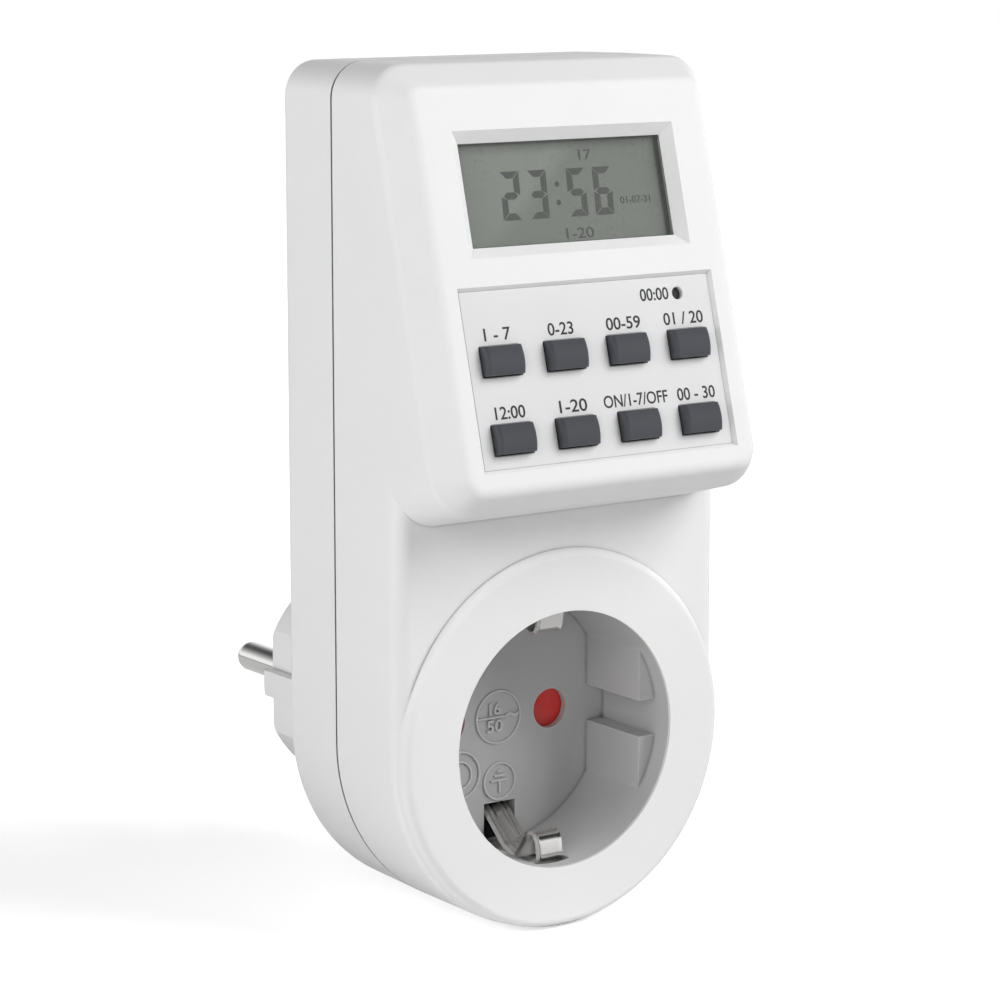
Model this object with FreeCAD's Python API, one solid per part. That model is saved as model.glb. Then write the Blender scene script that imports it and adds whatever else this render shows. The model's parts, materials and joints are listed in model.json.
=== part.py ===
import FreeCAD, Part
import math
import os

from FreeCAD import Placement, Rotation, Vector

# Digital week timer that plugs into a wall socket and carries a socket of its own.
# Millimetres. X to the right, Y from the front to the wall, Z up.
# The origin is the point between the two plug pins on the plug face.

# Depths, counted forward from the plug face
PLUG_FACE_Y = 0.0
BOSS_LENGTH = 19.6
BACK_TAPER_DEPTH = 7.5
REAR_SIDE_DEPTH = 13.0
FRONT_SIDE_DEPTH = 16.6
RING_HEIGHT = 1.4
BACK_Y = PLUG_FACE_Y - BOSS_LENGTH
REAR_EDGE_Y = BACK_Y - BACK_TAPER_DEPTH
SEAM_Y = REAR_EDGE_Y - REAR_SIDE_DEPTH
LOWER_FACE_Y = SEAM_Y - FRONT_SIDE_DEPTH
RING_FACE_Y = LOWER_FACE_Y - RING_HEIGHT

# Socket ring and well
MOUTH_R = 19.5
MOUTH_LIP = 0.25
WELL_R = MOUTH_R + MOUTH_LIP
WELL_DEPTH = 17.5
RING_R = 28.8
RING_EDGE_R = 1.3
RING_LIP = 0.5
INSERT_WALL = 1.5
INSERT_FIT = 0.1
FLOOR_T = 2.5
PIN_SPACING = 19.0
PIN_HOLE_R = 3.1
RIB_FACE_X = 16.5
RIB_LOW_Z = 2.83
RIB_SETBACK = 4.0

# Housing outline, seen from the front
RING_MARGIN = 0.3
HALF_WIDTH = RING_R + RING_MARGIN
BODY_TOP_Z = 100.1
TOP_CORNER_R = 5.3
WALL = 2.0
BACK_TAPER_IN = 5.4
SIDE_DRAFT = 0.25
SEAM_GAP = 0.4
LIP_INSET = 1.1
LIP_REACH = 2.5
LIP_CLEARANCE = 0.1
LOWER_EDGE_R = 2.3
REAR_EDGE_R = 1.6

# Head with the tilted face, and its own u, v frame on that face
FACE_TILT = 15.05
FACE_CENTRE_Z = 60.0
FACE_FORWARD = 6.97
FACE_CENTRE_Y = RING_FACE_Y - FACE_FORWARD
FACE_INSET = 3.4
FACE_HALF_WIDTH = HALF_WIDTH - FACE_INSET
FACE_LOW_V = -19.9
FACE_TOP_V = 38.1
SIDE_BEVEL_RATE = 0.77
TOP_BEVEL_RATE = 1.28
BEVEL_DEPTH = FACE_INSET / SIDE_BEVEL_RATE
HEAD_LOW_V = -22.45
LOW_BEVEL_RATE = (FACE_LOW_V - HEAD_LOW_V) / BEVEL_DEPTH
HEAD_CORNER_R = 6.4
FACE_CORNER_R = TOP_CORNER_R - FACE_INSET
FACE_LOW_CORNER_R = HEAD_CORNER_R - FACE_INSET
FACE_EDGE_R = 2.0
SOFT_EDGE_R = 2.0

# Sprung shutter behind the pin holes
SHUTTER_SKIN = 1.2
SHUTTER_T = 1.8
SHUTTER_LOBE_R = 3.8
SHUTTER_WAIST = 2.7
SHUTTER_HUB_R = 3.3
SHUTTER_GAP = 0.2
PIVOT_R = 1.5
PIVOT_FIT = 0.05
SHUTTER_POCKET_PLAY = 0.3
SHUTTER_POCKET_R = PIN_SPACING / 2 + SHUTTER_LOBE_R + SHUTTER_POCKET_PLAY
SHUTTER_POCKET_HALF_Z = 12.6

# Contact carrier behind the shutter
CARRIER_T = 2.0
CARRIER_R = 18.6
SLEEVE_LENGTH = 11.0
SLEEVE_HALF = 4.7
SLEEVE_WALL = 1.0
CONTACT_GRIP = 3.2

# Earth clip strip
STRIP_W = 4.6
STRIP_T = 0.6
STRIP_BEND = 1.0
CLIP_HUMP = 4.05
CLIP_HUMP_Y = 6.2
EARTH_SLOT_HALF = 2.9
EARTH_SLOT_LOW = 13.4
CLIP_RECESS_DEPTH = 1.6
CLIP_RECESS_FRONT = 3.3

# Plug
PIN_R = 2.4
PIN_LENGTH = 19.0
PIN_ROOT = 12.0
PIN_NECK_R = 2.0
PIN_SINK = 0.3
PIN_TIP_R = 2.0
BOSS_R = 17.8
BOSS_FLAT_X = 15.75
TONGUE_HALF = 2.04
BOSS_FACE_T = 3.0
BOSS_EDGE_R = 0.8
PIN_SLEEVE_R = 4.4
PIN_FIT = 0.1
PLUG_STRIP_W = 6.4
PLUG_STRIP_T = 0.8
PLUG_STRIP_SETBACK = 2.0

# Display opening and window
LCD_CENTRE_V = 22.7
LCD_HALF_U = 18.0
LCD_HALF_V = 7.5
BEZEL_W = 1.65
BEZEL_DEPTH = 1.45
WINDOW_FLANGE = 0.7
WINDOW_FLANGE_T = 1.0
LCD_PLATE_T = 1.1
LCD_LEDGE = 2.6

# Key panel
PANEL_MARGIN = 2.95
PANEL_HALF_U = FACE_HALF_WIDTH - PANEL_MARGIN
PANEL_HALF_V = 13.2
PANEL_CENTRE_V = -3.68
PANEL_DEPTH = 0.65
PANEL_BEVEL = 0.5
KEY_COLUMN_INSET = 6.02
KEY_PITCH_U = (PANEL_HALF_U - KEY_COLUMN_INSET) / 1.5
KEY_PITCH_V = 11.15
KEY_TOP_ROW_V = -1.1
KEY_HALF_U = 3.3
KEY_HALF_V = 2.08
KEY_PROUD = 1.7
KEY_CROWN = 0.4
KEY_GAP = 0.15
KEY_FLANGE = 0.7
KEY_FLANGE_T = 0.8
KEY_STEM = 0.65
KEY_TRAVEL = 0.6
KEY_END_R = 0.6
RESET_INSET = 6.45
RESET_U = PANEL_HALF_U - RESET_INSET
RESET_V = 6.45
RESET_HOLE_R = 0.95
RESET_R = 0.78
RESET_SUNK = 1.3
RESET_TRAVEL = 0.3
REST_GAP = 0.1

# Boards
BOARD_T = 1.6
DISPLAY_BOARD_W = 9.0
DISPLAY_BOARD_INSET = 3.7
DISPLAY_BOARD_HALF = HALF_WIDTH - DISPLAY_BOARD_INSET
DISPLAY_BOARD_LOW_V = -17.2
DISPLAY_BOARD_TOP_V = 32.0
DISPLAY_POST_INSET = 5.5
DISPLAY_POST_U = HALF_WIDTH - DISPLAY_POST_INSET
DISPLAY_POST_R = 2.0
DISPLAY_POST_V = (-14.6, 10.4)
POWER_BOARD_INSET = 4.7
POWER_BOARD_HALF = HALF_WIDTH - POWER_BOARD_INSET
POWER_BOARD_Z = (33.2, 84.0)
POWER_BOARD_STANDOFF = 4.0
POWER_POST_INSET = 7.6
POWER_POST_X = HALF_WIDTH - POWER_POST_INSET
POWER_POST_Z = (37.0, 80.0)
POWER_POST_R = 2.4
LEAD_GAP = 0.1

# Housing screws
SCREW_INSET = 8.7
SCREW_X = HALF_WIDTH - SCREW_INSET
SCREW_Z = (27.0, 91.3)
SCREW_R = 1.25
SCREW_HEAD_R = 2.3
SCREW_HEAD_T = 1.8
SCREW_BITE = 10.0
FRONT_POST_R = 2.5
PILLAR_R = 4.0
HEAD_HOLE_R = 2.6
SCREW_SEAT = 4.0
SMALL_SCREW_R = 0.9
SMALL_HEAD_R = 1.8
SMALL_HEAD_T = 1.2
SMALL_BITE = 5.0

# Wires
WIRE_R = 0.95
WIRE_BEND = 3.2
WIRE_ASIDE = 1.6
WIRE_BOW = 5.0
WIRE_KNEE_Z = 23.0
WIRE_FOOT_X = 12.5
CABLE_W = 9.0
CABLE_T = 0.9
CABLE_V = 22.0

# Parts on the power board: width, height off the board, and rise
RELAY = (19.0, 15.3, 15.5)
RELAY_X = -11.0
FILM_CAP = (17.5, 13.5, 8.0)
FILM_CAP_X = 10.0
PARTS_LOW_Z = 40.0
UPPER_PARTS_Z = 65.0
ROUND_CAP_R = 5.0
ROUND_CAP_LENGTH = 12.0
ROUND_CAP_INSET = 10.4
ROUND_CAP_X = ROUND_CAP_INSET - POWER_BOARD_HALF
VARISTOR_R = 5.5
VARISTOR_T = 3.6
VARISTOR_X = 9.0
FUSE_R = 2.0
FUSE_LENGTH = 9.0
FUSE_INSET = 5.9
FUSE_X = POWER_BOARD_HALF - FUSE_INSET
DIODE_R = 1.3
DIODE_LENGTH = 5.0
DIODE_X = -4.0

# Clock parts on the back of the display board, placed in u and v
CHIP = 11.0
CHIP_PLACE = (9.0, 6.0)
CRYSTAL_R = 1.6
CRYSTAL_LENGTH = 6.5
CRYSTAL_PLACE = (-4.0, 12.0)
BATTERY_R = 5.8
BATTERY_T = 5.4
BATTERY_PLACE = (-10.0, -4.0)

# Spring round the shutter's pivot
SPRING_R = 3.2
SPRING_WIRE_R = 0.25
SPRING_BEAD_R = 0.32
SPRING_ARC = 310.0
SPRING_GROOVE = 1.6

# Worked out from the sizes above
PIN_X = PIN_SPACING / 2
FLOOR_Y = RING_FACE_Y + WELL_DEPTH
FLOOR_BACK_Y = FLOOR_Y + FLOOR_T
SHUTTER_Y = FLOOR_Y + SHUTTER_SKIN + SHUTTER_GAP
CARRIER_Y = max(SHUTTER_Y + SHUTTER_T + SHUTTER_GAP, FLOOR_BACK_Y) + SHUTTER_GAP
CARRIER_BACK_Y = CARRIER_Y + CARRIER_T
INSERT_R = WELL_R + INSERT_WALL
BACK_INNER_Y = BACK_Y - WALL
POWER_BOARD_Y = BACK_INNER_Y - POWER_BOARD_STANDOFF - BOARD_T
WIRE_DROP_Y = BACK_INNER_Y - WIRE_R - 3 * LEAD_GAP
PANEL_WALL_W = PANEL_DEPTH + WALL
KEY_ROWS_V = (KEY_TOP_ROW_V, KEY_TOP_ROW_V - KEY_PITCH_V)
KEY_COLUMNS_U = tuple(KEY_PITCH_U * (i - 1.5) for i in range(4))
KEY_NAMES = (
    ("key_day", "key_hour", "key_minute", "key_recall"),
    ("key_clock", "key_program", "key_mode", "key_random"),
)
FAR = 60.0
CUT = 0.5

# Local X is u, local Y is v up the face, local Z points out of the face
FACE_PLACEMENT = Placement(
    Vector(0, FACE_CENTRE_Y, FACE_CENTRE_Z),
    Rotation(Vector(1, 0, 0), 90 - FACE_TILT),
)


def on_face(shape):
    """Move a shape made in the face's own frame to its place."""
    moved = shape.copy()
    moved.Placement = FACE_PLACEMENT.multiply(moved.Placement)
    return moved


def box(x0, x1, y0, y1, z0, z1):
    """Box between two corners."""
    return Part.makeBox(x1 - x0, y1 - y0, z1 - z0, Vector(x0, y0, z0))


def rod(x, z, radius, y0, y1):
    """Round bar along Y from y0 back to y1."""
    return Part.makeCylinder(radius, y1 - y0, Vector(x, y0, z), Vector(0, 1, 0))


def face_rod(u, v, radius, w0, w1):
    """Round bar square to the face, from depth w0 to depth w1, in the face's frame."""
    return Part.makeCylinder(radius, w1 - w0, Vector(u, v, -w1), Vector(0, 0, 1))


def face_box(u0, u1, v0, v1, w0, w1):
    """Box in the face's frame, from depth w0 to depth w1."""
    return Part.makeBox(u1 - u0, v1 - v0, w1 - w0, Vector(u0, v0, -w1))


def joined(shapes):
    """One solid from shapes that meet."""
    result = shapes[0].fuse(shapes[1:]) if len(shapes) > 1 else shapes[0]
    return result.removeSplitter()


def rectangle(half_u, half_v, centre_v, depth):
    """Closed wire with sharp corners in the face's frame."""
    low, high = centre_v - half_v, centre_v + half_v
    points = [
        Vector(-half_u, low, -depth),
        Vector(half_u, low, -depth),
        Vector(half_u, high, -depth),
        Vector(-half_u, high, -depth),
    ]
    return Part.makePolygon(points + points[:1])


def body_outline(y, inset):
    """The housing's outline at depth y, drawn inset from the outside."""
    half = HALF_WIDTH - inset
    top = BODY_TOP_Z - inset
    radius = max(TOP_CORNER_R - inset, 1.0)
    k = radius * (1 - math.sqrt(0.5))

    def at(x, z):
        return Vector(x, y, z)

    edges = [
        Part.Arc(at(half, 0), at(0, -half), at(-half, 0)).toShape(),
        Part.LineSegment(at(-half, 0), at(-half, top - radius)).toShape(),
        Part.Arc(at(-half, top - radius), at(-half + k, top - k), at(-half + radius, top)).toShape(),
        Part.LineSegment(at(-half + radius, top), at(half - radius, top)).toShape(),
        Part.Arc(at(half - radius, top), at(half - k, top - k), at(half, top - radius)).toShape(),
        Part.LineSegment(at(half, top - radius), at(half, 0)).toShape(),
    ]
    return Part.Wire(edges)


def body_prism(y0, y1, inset):
    """The outline carried straight from y0 back to y1."""
    return Part.Face(body_outline(y0, inset)).extrude(Vector(0, y1 - y0, 0))


def body_ring(y0, y1, outer_inset, inner_inset):
    """A hoop that follows the outline."""
    return body_prism(y0, y1, outer_inset).cut(body_prism(y0 - CUT, y1 + CUT, inner_inset))


def edges_where(shape, test):
    """Edges whose middle passes the test."""
    chosen = []
    for edge in shape.Edges:
        middle = edge.valueAt((edge.FirstParameter + edge.LastParameter) / 2)
        if test(edge, middle):
            chosen.append(edge)
    return chosen


def face_depth(point):
    """How far a point lies behind the plane of the tilted face."""
    tilt = math.radians(FACE_TILT)
    forward = point.y - FACE_CENTRE_Y
    up = point.z - FACE_CENTRE_Z
    return forward * math.cos(tilt) - up * math.sin(tilt)


def rounded_rectangle(half_u, low_v, high_v, low_r, high_r, depth):
    """Closed wire in the face's frame, with one radius at the low corners and one at the high ones."""
    cut = 1 - math.sqrt(0.5)
    corners = []
    low, high = (low_v, low_r, 1), (high_v, high_r, -1)
    for side, (v, radius, up) in ((1, low), (1, high), (-1, high), (-1, low)):
        beside = Vector(side * (half_u - radius), v, -depth)
        middle = Vector(side * (half_u - radius * cut), v + up * radius * cut, -depth)
        along = Vector(side * half_u, v + up * radius, -depth)
        corners.append((beside, middle, along) if side == up else (along, middle, beside))
    edges = []
    for corner, following in zip(corners, corners[1:] + corners[:1]):
        edges.append(Part.Arc(*corner).toShape())
        edges.append(Part.LineSegment(corner[2], following[0]).toShape())
    return Part.Wire(edges)


def face_cone(depth_in, inset):
    """The widening block behind the tilted face, whose sides are the head's bevels."""
    half = FACE_HALF_WIDTH - inset * math.hypot(1, SIDE_BEVEL_RATE)
    top = FACE_TOP_V - inset * math.hypot(1, TOP_BEVEL_RATE)
    low = FACE_LOW_V + inset * math.hypot(1, LOW_BEVEL_RATE)
    wires = []
    for depth in (depth_in, FAR):
        widening = depth * SIDE_BEVEL_RATE
        wires.append(rounded_rectangle(
            half + widening,
            low - depth * LOW_BEVEL_RATE,
            top + depth * TOP_BEVEL_RATE,
            FACE_LOW_CORNER_R + widening,
            FACE_CORNER_R + widening,
            depth,
        ))
    return on_face(Part.makeLoft(wires, True, True))


def head_block(inset):
    """The overhanging head: a rounded outline, open at the top, carried square out of the face's plane."""
    half = HALF_WIDTH - inset
    radius = max(HEAD_CORNER_R - inset, 1.0)
    depth = FAR / 2
    outline = rounded_rectangle(half, HEAD_LOW_V + inset, 3 * FAR, radius, radius, -depth)
    return on_face(Part.Face(outline).extrude(Vector(0, 0, -2 * FAR)))


def below_face(prism):
    """The part of the body that stands below the middle of the tilted face."""
    return prism.common(box(-FAR, FAR, -FAR, FAR, -FAR, FACE_CENTRE_Z))


def front_outer():
    """Outside form of the front shell, with its soft edges."""
    front_y = SEAM_Y - SEAM_GAP / 2
    lower = body_prism(LOWER_FACE_Y, front_y, 0)
    lower_edges = edges_where(lower, lambda edge, middle: abs(middle.y - LOWER_FACE_Y) < 0.01)
    lower = lower.makeFillet(LOWER_EDGE_R, lower_edges)
    whole = body_prism(LOWER_FACE_Y - FAR, front_y, 0)
    head = head_block(0).common(whole).common(face_cone(0, 0)).removeSplitter()
    soft = edges_where(head, lambda edge, middle: BEVEL_DEPTH * 0.7 < face_depth(middle) < BEVEL_DEPTH * 1.1)
    head = head.makeFillet(SOFT_EDGE_R, soft)
    rim = edges_where(head, lambda edge, middle: abs(face_depth(middle)) < 0.01)
    head = head.makeFillet(FACE_EDGE_R, rim)
    solid = joined([below_face(lower), head])
    ring = rod(0, 0, RING_R, RING_FACE_Y, LOWER_FACE_Y + WALL)
    ring_edge = edges_where(ring, lambda edge, middle: abs(middle.y - RING_FACE_Y) < 0.01)
    ring = ring.makeFillet(RING_EDGE_R, ring_edge)
    return joined([solid, ring])


def front_inner(inset, back_y):
    """The front shell's form drawn inset from the outside, without the ring."""
    lower = body_prism(LOWER_FACE_Y + inset, back_y, inset)
    whole = body_prism(LOWER_FACE_Y - FAR, back_y, inset)
    head = head_block(inset).common(whole).common(face_cone(inset, inset))
    return joined([below_face(lower), head])


def display_opening():
    """Cutter for the bevelled display opening, in the face's frame."""
    outer_u = LCD_HALF_U + BEZEL_W
    outer_v = LCD_HALF_V + BEZEL_W
    slope = BEZEL_W / BEZEL_DEPTH
    mouth = rectangle(outer_u + CUT * slope, outer_v + CUT * slope, LCD_CENTRE_V, -CUT)
    throat = rectangle(LCD_HALF_U, LCD_HALF_V, LCD_CENTRE_V, BEZEL_DEPTH)
    bevel = Part.makeLoft([mouth, throat], True, True)
    low, high = LCD_CENTRE_V - LCD_HALF_V, LCD_CENTRE_V + LCD_HALF_V
    through = face_box(-LCD_HALF_U, LCD_HALF_U, low, high, BEZEL_DEPTH - CUT / 10, WALL + CUT)
    return bevel.fuse(through)


def panel_recess():
    """Cutter for the shallow key panel, in the face's frame."""
    slope = PANEL_BEVEL / PANEL_DEPTH
    grow = CUT * slope
    mouth = rectangle(PANEL_HALF_U + grow, PANEL_HALF_V + grow, PANEL_CENTRE_V, -CUT)
    floor = rectangle(PANEL_HALF_U - PANEL_BEVEL, PANEL_HALF_V - PANEL_BEVEL, PANEL_CENTRE_V, PANEL_DEPTH)
    return Part.makeLoft([mouth, floor], True, True)


def key_places():
    """Name and centre of every key, in the face's frame."""
    for names, v in zip(KEY_NAMES, KEY_ROWS_V):
        for name, u in zip(names, KEY_COLUMNS_U):
            yield name, u, v


def front_housing():
    """Front shell: tilted head, lower face and socket ring, moulded in one piece."""
    seam = SEAM_Y - SEAM_GAP / 2
    shell = front_outer().cut(front_inner(WALL, SEAM_Y + CUT))
    backing = face_box(
        -PANEL_HALF_U - WALL / 2,
        PANEL_HALF_U + WALL / 2,
        PANEL_CENTRE_V - PANEL_HALF_V,
        PANEL_CENTRE_V + PANEL_HALF_V + WALL / 2,
        WALL - CUT,
        PANEL_WALL_W,
    )
    added = [on_face(backing)]
    for u in (-DISPLAY_POST_U, DISPLAY_POST_U):
        for v in DISPLAY_POST_V:
            added.append(on_face(face_rod(u, v, DISPLAY_POST_R, WALL - CUT, DISPLAY_BOARD_W)))
    inside = front_inner(WALL / 2, seam)
    for x in (-SCREW_X, SCREW_X):
        for z in SCREW_Z:
            post = rod(x, z, FRONT_POST_R, LOWER_FACE_Y - WALL, seam)
            added.append(post.common(inside))
    collar = rod(0, 0, INSERT_R + INSERT_FIT + WALL, LOWER_FACE_Y + CUT, RING_FACE_Y + WELL_DEPTH / 2)
    added.append(collar)
    shell = shell.fuse(added)
    lip_room = body_ring(seam - LIP_REACH - LIP_CLEARANCE, seam + CUT, LIP_INSET - LIP_CLEARANCE, WALL + CUT)
    cutters = [lip_room]
    cutters.append(rod(0, 0, MOUTH_R, RING_FACE_Y - CUT, SEAM_Y))
    cutters.append(rod(0, 0, INSERT_R + INSERT_FIT, RING_FACE_Y + RING_LIP, SEAM_Y))
    cutters.append(clip_housing(INSERT_FIT).common(box(-FAR, FAR, LOWER_FACE_Y + WALL, SEAM_Y, -FAR, FAR)))
    cutters.append(on_face(display_opening()))
    cutters.append(on_face(panel_recess()))
    for name, u, v in key_places():
        hole = face_box(
            u - KEY_HALF_U - KEY_GAP,
            u + KEY_HALF_U + KEY_GAP,
            v - KEY_HALF_V - KEY_GAP,
            v + KEY_HALF_V + KEY_GAP,
            PANEL_DEPTH - CUT,
            PANEL_WALL_W + CUT,
        )
        cutters.append(on_face(hole))
    cutters.append(on_face(face_rod(RESET_U, RESET_V, RESET_HOLE_R, 0, PANEL_WALL_W + CUT)))
    for u in (-DISPLAY_POST_U, DISPLAY_POST_U):
        for v in DISPLAY_POST_V:
            low_w = DISPLAY_BOARD_W - SMALL_BITE - CUT
            pilot = face_rod(u, v, SMALL_SCREW_R + LEAD_GAP, low_w, DISPLAY_BOARD_W + CUT)
            cutters.append(on_face(pilot))
    for x in (-SCREW_X, SCREW_X):
        for z in SCREW_Z:
            cutters.append(rod(x, z, SCREW_R + LEAD_GAP, seam - SCREW_BITE - CUT, seam + CUT))
    return shell.cut(cutters).removeSplitter()


def rear_outer():
    """Outside form of the rear shell, with its tapered back."""
    sections = [
        body_outline(SEAM_Y + SEAM_GAP / 2, 0),
        body_outline(REAR_EDGE_Y, SIDE_DRAFT),
        body_outline(BACK_Y, BACK_TAPER_IN),
    ]
    solid = Part.makeLoft(sections, True, True)
    for y in (REAR_EDGE_Y, BACK_Y):
        ring = edges_where(
            solid,
            lambda edge, middle: abs(middle.y - y) < 0.01 and edge.BoundBox.YLength < 0.01,
        )
        solid = solid.makeFillet(REAR_EDGE_R, ring)
    return solid


def rear_inner():
    """The hollow of the rear shell."""
    sections = [
        body_outline(SEAM_Y - CUT, WALL),
        body_outline(REAR_EDGE_Y, WALL + SIDE_DRAFT),
        body_outline(BACK_INNER_Y, WALL + BACK_TAPER_IN),
    ]
    return Part.makeLoft(sections, True, True)


def boss_outer():
    """Round plug boss with a side flat above and below each guide tongue."""
    boss = rod(0, 0, BOSS_R, BACK_Y - WALL / 2, PLUG_FACE_Y)
    edge = edges_where(boss, lambda edge, middle: abs(middle.y - PLUG_FACE_Y) < 0.01)
    boss = boss.makeFillet(BOSS_EDGE_R, edge)
    cutters = []
    for side in (-1, 1):
        for up in (-1, 1):
            xs = sorted((side * BOSS_FLAT_X, side * (BOSS_R + CUT)))
            zs = sorted((up * TONGUE_HALF, up * BOSS_R * 0.75))
            cutters.append(box(xs[0], xs[1], BACK_Y + CUT / 5, PLUG_FACE_Y + CUT, zs[0], zs[1]))
    return boss.cut(cutters)


def plug_channel(grow, y0, y1):
    """The two strips' places on the top and bottom of the boss."""
    half = PLUG_STRIP_W / 2 + grow
    deep = plug_strip_low() - grow
    bars = []
    for up in (-1, 1):
        zs = sorted((up * deep, up * (BOSS_R + WALL)))
        bars.append(box(-half, half, y0, y1, zs[0], zs[1]))
    return bars


def plug_strip_low():
    """Distance of the strips' inner side from the plug's axis."""
    edge = math.sqrt(BOSS_R ** 2 - (PLUG_STRIP_W / 2) ** 2)
    return edge - PLUG_STRIP_T - LEAD_GAP


def rear_housing():
    """Rear shell: tapered back, plug boss, pin sleeves, screw pillars and board posts."""
    shell = rear_outer().cut(rear_inner())
    hollow_x = BOSS_FLAT_X - WALL
    hollow = rod(0, 0, BOSS_R - WALL, BACK_INNER_Y - CUT, PLUG_FACE_Y - BOSS_FACE_T)
    hollow = hollow.common(box(-hollow_x, hollow_x, BACK_INNER_Y - FAR, PLUG_FACE_Y, -FAR, FAR))
    roof = plug_strip_low() - LEAD_GAP - WALL / 2
    hollow = hollow.common(box(-FAR, FAR, -FAR, FAR, -roof, roof))
    shell = shell.fuse(boss_outer()).cut(hollow)
    seam = SEAM_Y + SEAM_GAP / 2
    added = [body_ring(seam - SEAM_GAP - LIP_REACH, seam + CUT, LIP_INSET, WALL)]
    for x in (-PIN_X, PIN_X):
        added.append(rod(x, 0, PIN_SLEEVE_R, PLUG_FACE_Y - PIN_ROOT, PLUG_FACE_Y - CUT))
    for x in (-SCREW_X, SCREW_X):
        for z in SCREW_Z:
            added.append(rod(x, z, PILLAR_R, seam, BACK_Y - CUT))
    for x in (-POWER_POST_X, POWER_POST_X):
        for z in POWER_POST_Z:
            added.append(rod(x, z, POWER_POST_R, POWER_BOARD_Y + BOARD_T, BACK_Y - CUT))
    shell = shell.fuse(added)
    cutters = []
    for x in (-PIN_X, PIN_X):
        cutters.append(rod(x, 0, PIN_NECK_R + PIN_FIT, PLUG_FACE_Y - PIN_ROOT - CUT, PLUG_FACE_Y + CUT))
        cutters.append(rod(x, 0, PIN_R + PIN_FIT, PLUG_FACE_Y - PIN_SINK, PLUG_FACE_Y + CUT))
    for x in (-SCREW_X, SCREW_X):
        for z in SCREW_Z:
            cutters.append(rod(x, z, SCREW_R + LEAD_GAP * 2, seam - CUT, BACK_Y))
            cutters.append(rod(x, z, HEAD_HOLE_R, seam + SCREW_SEAT, BACK_Y + CUT))
    for x in (-POWER_POST_X, POWER_POST_X):
        for z in POWER_POST_Z:
            pilot_end = POWER_BOARD_Y + BOARD_T + POWER_BOARD_STANDOFF
            cutters.append(rod(x, z, SMALL_SCREW_R + LEAD_GAP, POWER_BOARD_Y, pilot_end))
    cutters += plug_channel(LEAD_GAP, BACK_INNER_Y - CUT, PLUG_FACE_Y - PLUG_STRIP_SETBACK)
    return shell.cut(cutters).removeSplitter()


def clip_housing(grow):
    """Square housings above and below the well that the earth clips spring into."""
    half = STRIP_W / 2 + CLIP_RECESS_DEPTH / 2 + INSERT_WALL + grow
    high = WELL_R + CLIP_RECESS_DEPTH + INSERT_WALL + grow
    y0 = LOWER_FACE_Y + WALL + INSERT_FIT - grow
    low = WELL_R + INSERT_WALL / 2
    upper = box(-half, half, y0, FLOOR_BACK_Y + grow, low, high)
    lower = box(-half, half, y0, FLOOR_BACK_Y + grow, -high, -low)
    return upper.fuse(lower)


def socket_insert():
    """Grey well of the socket: cup, guide ribs, pin holes, clip slots and shutter pocket."""
    front = RING_FACE_Y + RING_LIP
    cup = rod(0, 0, INSERT_R, front, FLOOR_BACK_Y).fuse(clip_housing(0))
    cup = cup.cut(rod(0, 0, WELL_R, front - CUT, FLOOR_Y))
    ribs = rod(0, 0, WELL_R + INSERT_WALL / 2, RING_FACE_Y + RIB_SETBACK, FLOOR_Y + CUT)
    ribs = ribs.cut(box(-RIB_FACE_X, RIB_FACE_X, -FAR * 2, FAR, -FAR, FAR))
    ribs = ribs.cut(box(-FAR, FAR, -FAR * 2, FAR, -RIB_LOW_Z, RIB_LOW_Z))
    cup = cup.fuse(ribs)
    cutters = []
    for x in (-PIN_X, PIN_X):
        cutters.append(rod(x, 0, PIN_HOLE_R, FLOOR_Y - CUT, FLOOR_BACK_Y + CUT))
    pocket = rod(0, 0, SHUTTER_POCKET_R, FLOOR_Y + SHUTTER_SKIN, FLOOR_BACK_Y + CUT)
    flat = SHUTTER_POCKET_HALF_Z
    pocket = pocket.common(box(-FAR, FAR, -FAR * 2, FAR, -flat, flat))
    cutters.append(pocket)
    room_half = STRIP_W / 2 + CLIP_RECESS_DEPTH / 2
    room_y = RING_FACE_Y + CLIP_RECESS_FRONT + INSERT_FIT
    for up in (-1, 1):
        slot_z = sorted((up * EARTH_SLOT_LOW, up * WELL_R))
        room_z = sorted((up * (WELL_R - INSERT_WALL), up * (WELL_R + CLIP_RECESS_DEPTH)))
        half = EARTH_SLOT_HALF
        cutters.append(box(-half, half, FLOOR_Y - CUT, FLOOR_BACK_Y + CUT, slot_z[0], slot_z[1]))
        cutters.append(box(-room_half, room_half, room_y, FLOOR_Y, room_z[0], room_z[1]))
    for x, z in carrier_screw_places():
        cutters.append(rod(x, z, SMALL_SCREW_R + LEAD_GAP, FLOOR_BACK_Y - FLOOR_T / 2, FLOOR_BACK_Y + CUT))
    return cup.cut(cutters).removeSplitter()


def carrier_screw_places():
    """Two screws on a diagonal, outside the shutter's pocket."""
    reach = (SHUTTER_POCKET_R + CARRIER_R) / 2
    slant = math.radians(40)
    x, z = reach * math.cos(slant), reach * math.sin(slant)
    return ((x, z), (-x, -z))


def pin_shutter():
    """Red two-lobed shutter that turns on the carrier's pivot."""
    y1 = SHUTTER_Y + SHUTTER_T
    lobes = [rod(x, 0, SHUTTER_LOBE_R, SHUTTER_Y, y1) for x in (-PIN_X, PIN_X)]
    web = box(-PIN_X, PIN_X, SHUTTER_Y, y1, -SHUTTER_WAIST, SHUTTER_WAIST)
    hub = rod(0, 0, SHUTTER_HUB_R, SHUTTER_Y, y1)
    body = joined(lobes + [web, hub])
    return body.cut(rod(0, 0, PIVOT_R + PIVOT_FIT, SHUTTER_Y - CUT, y1 + CUT))


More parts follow.
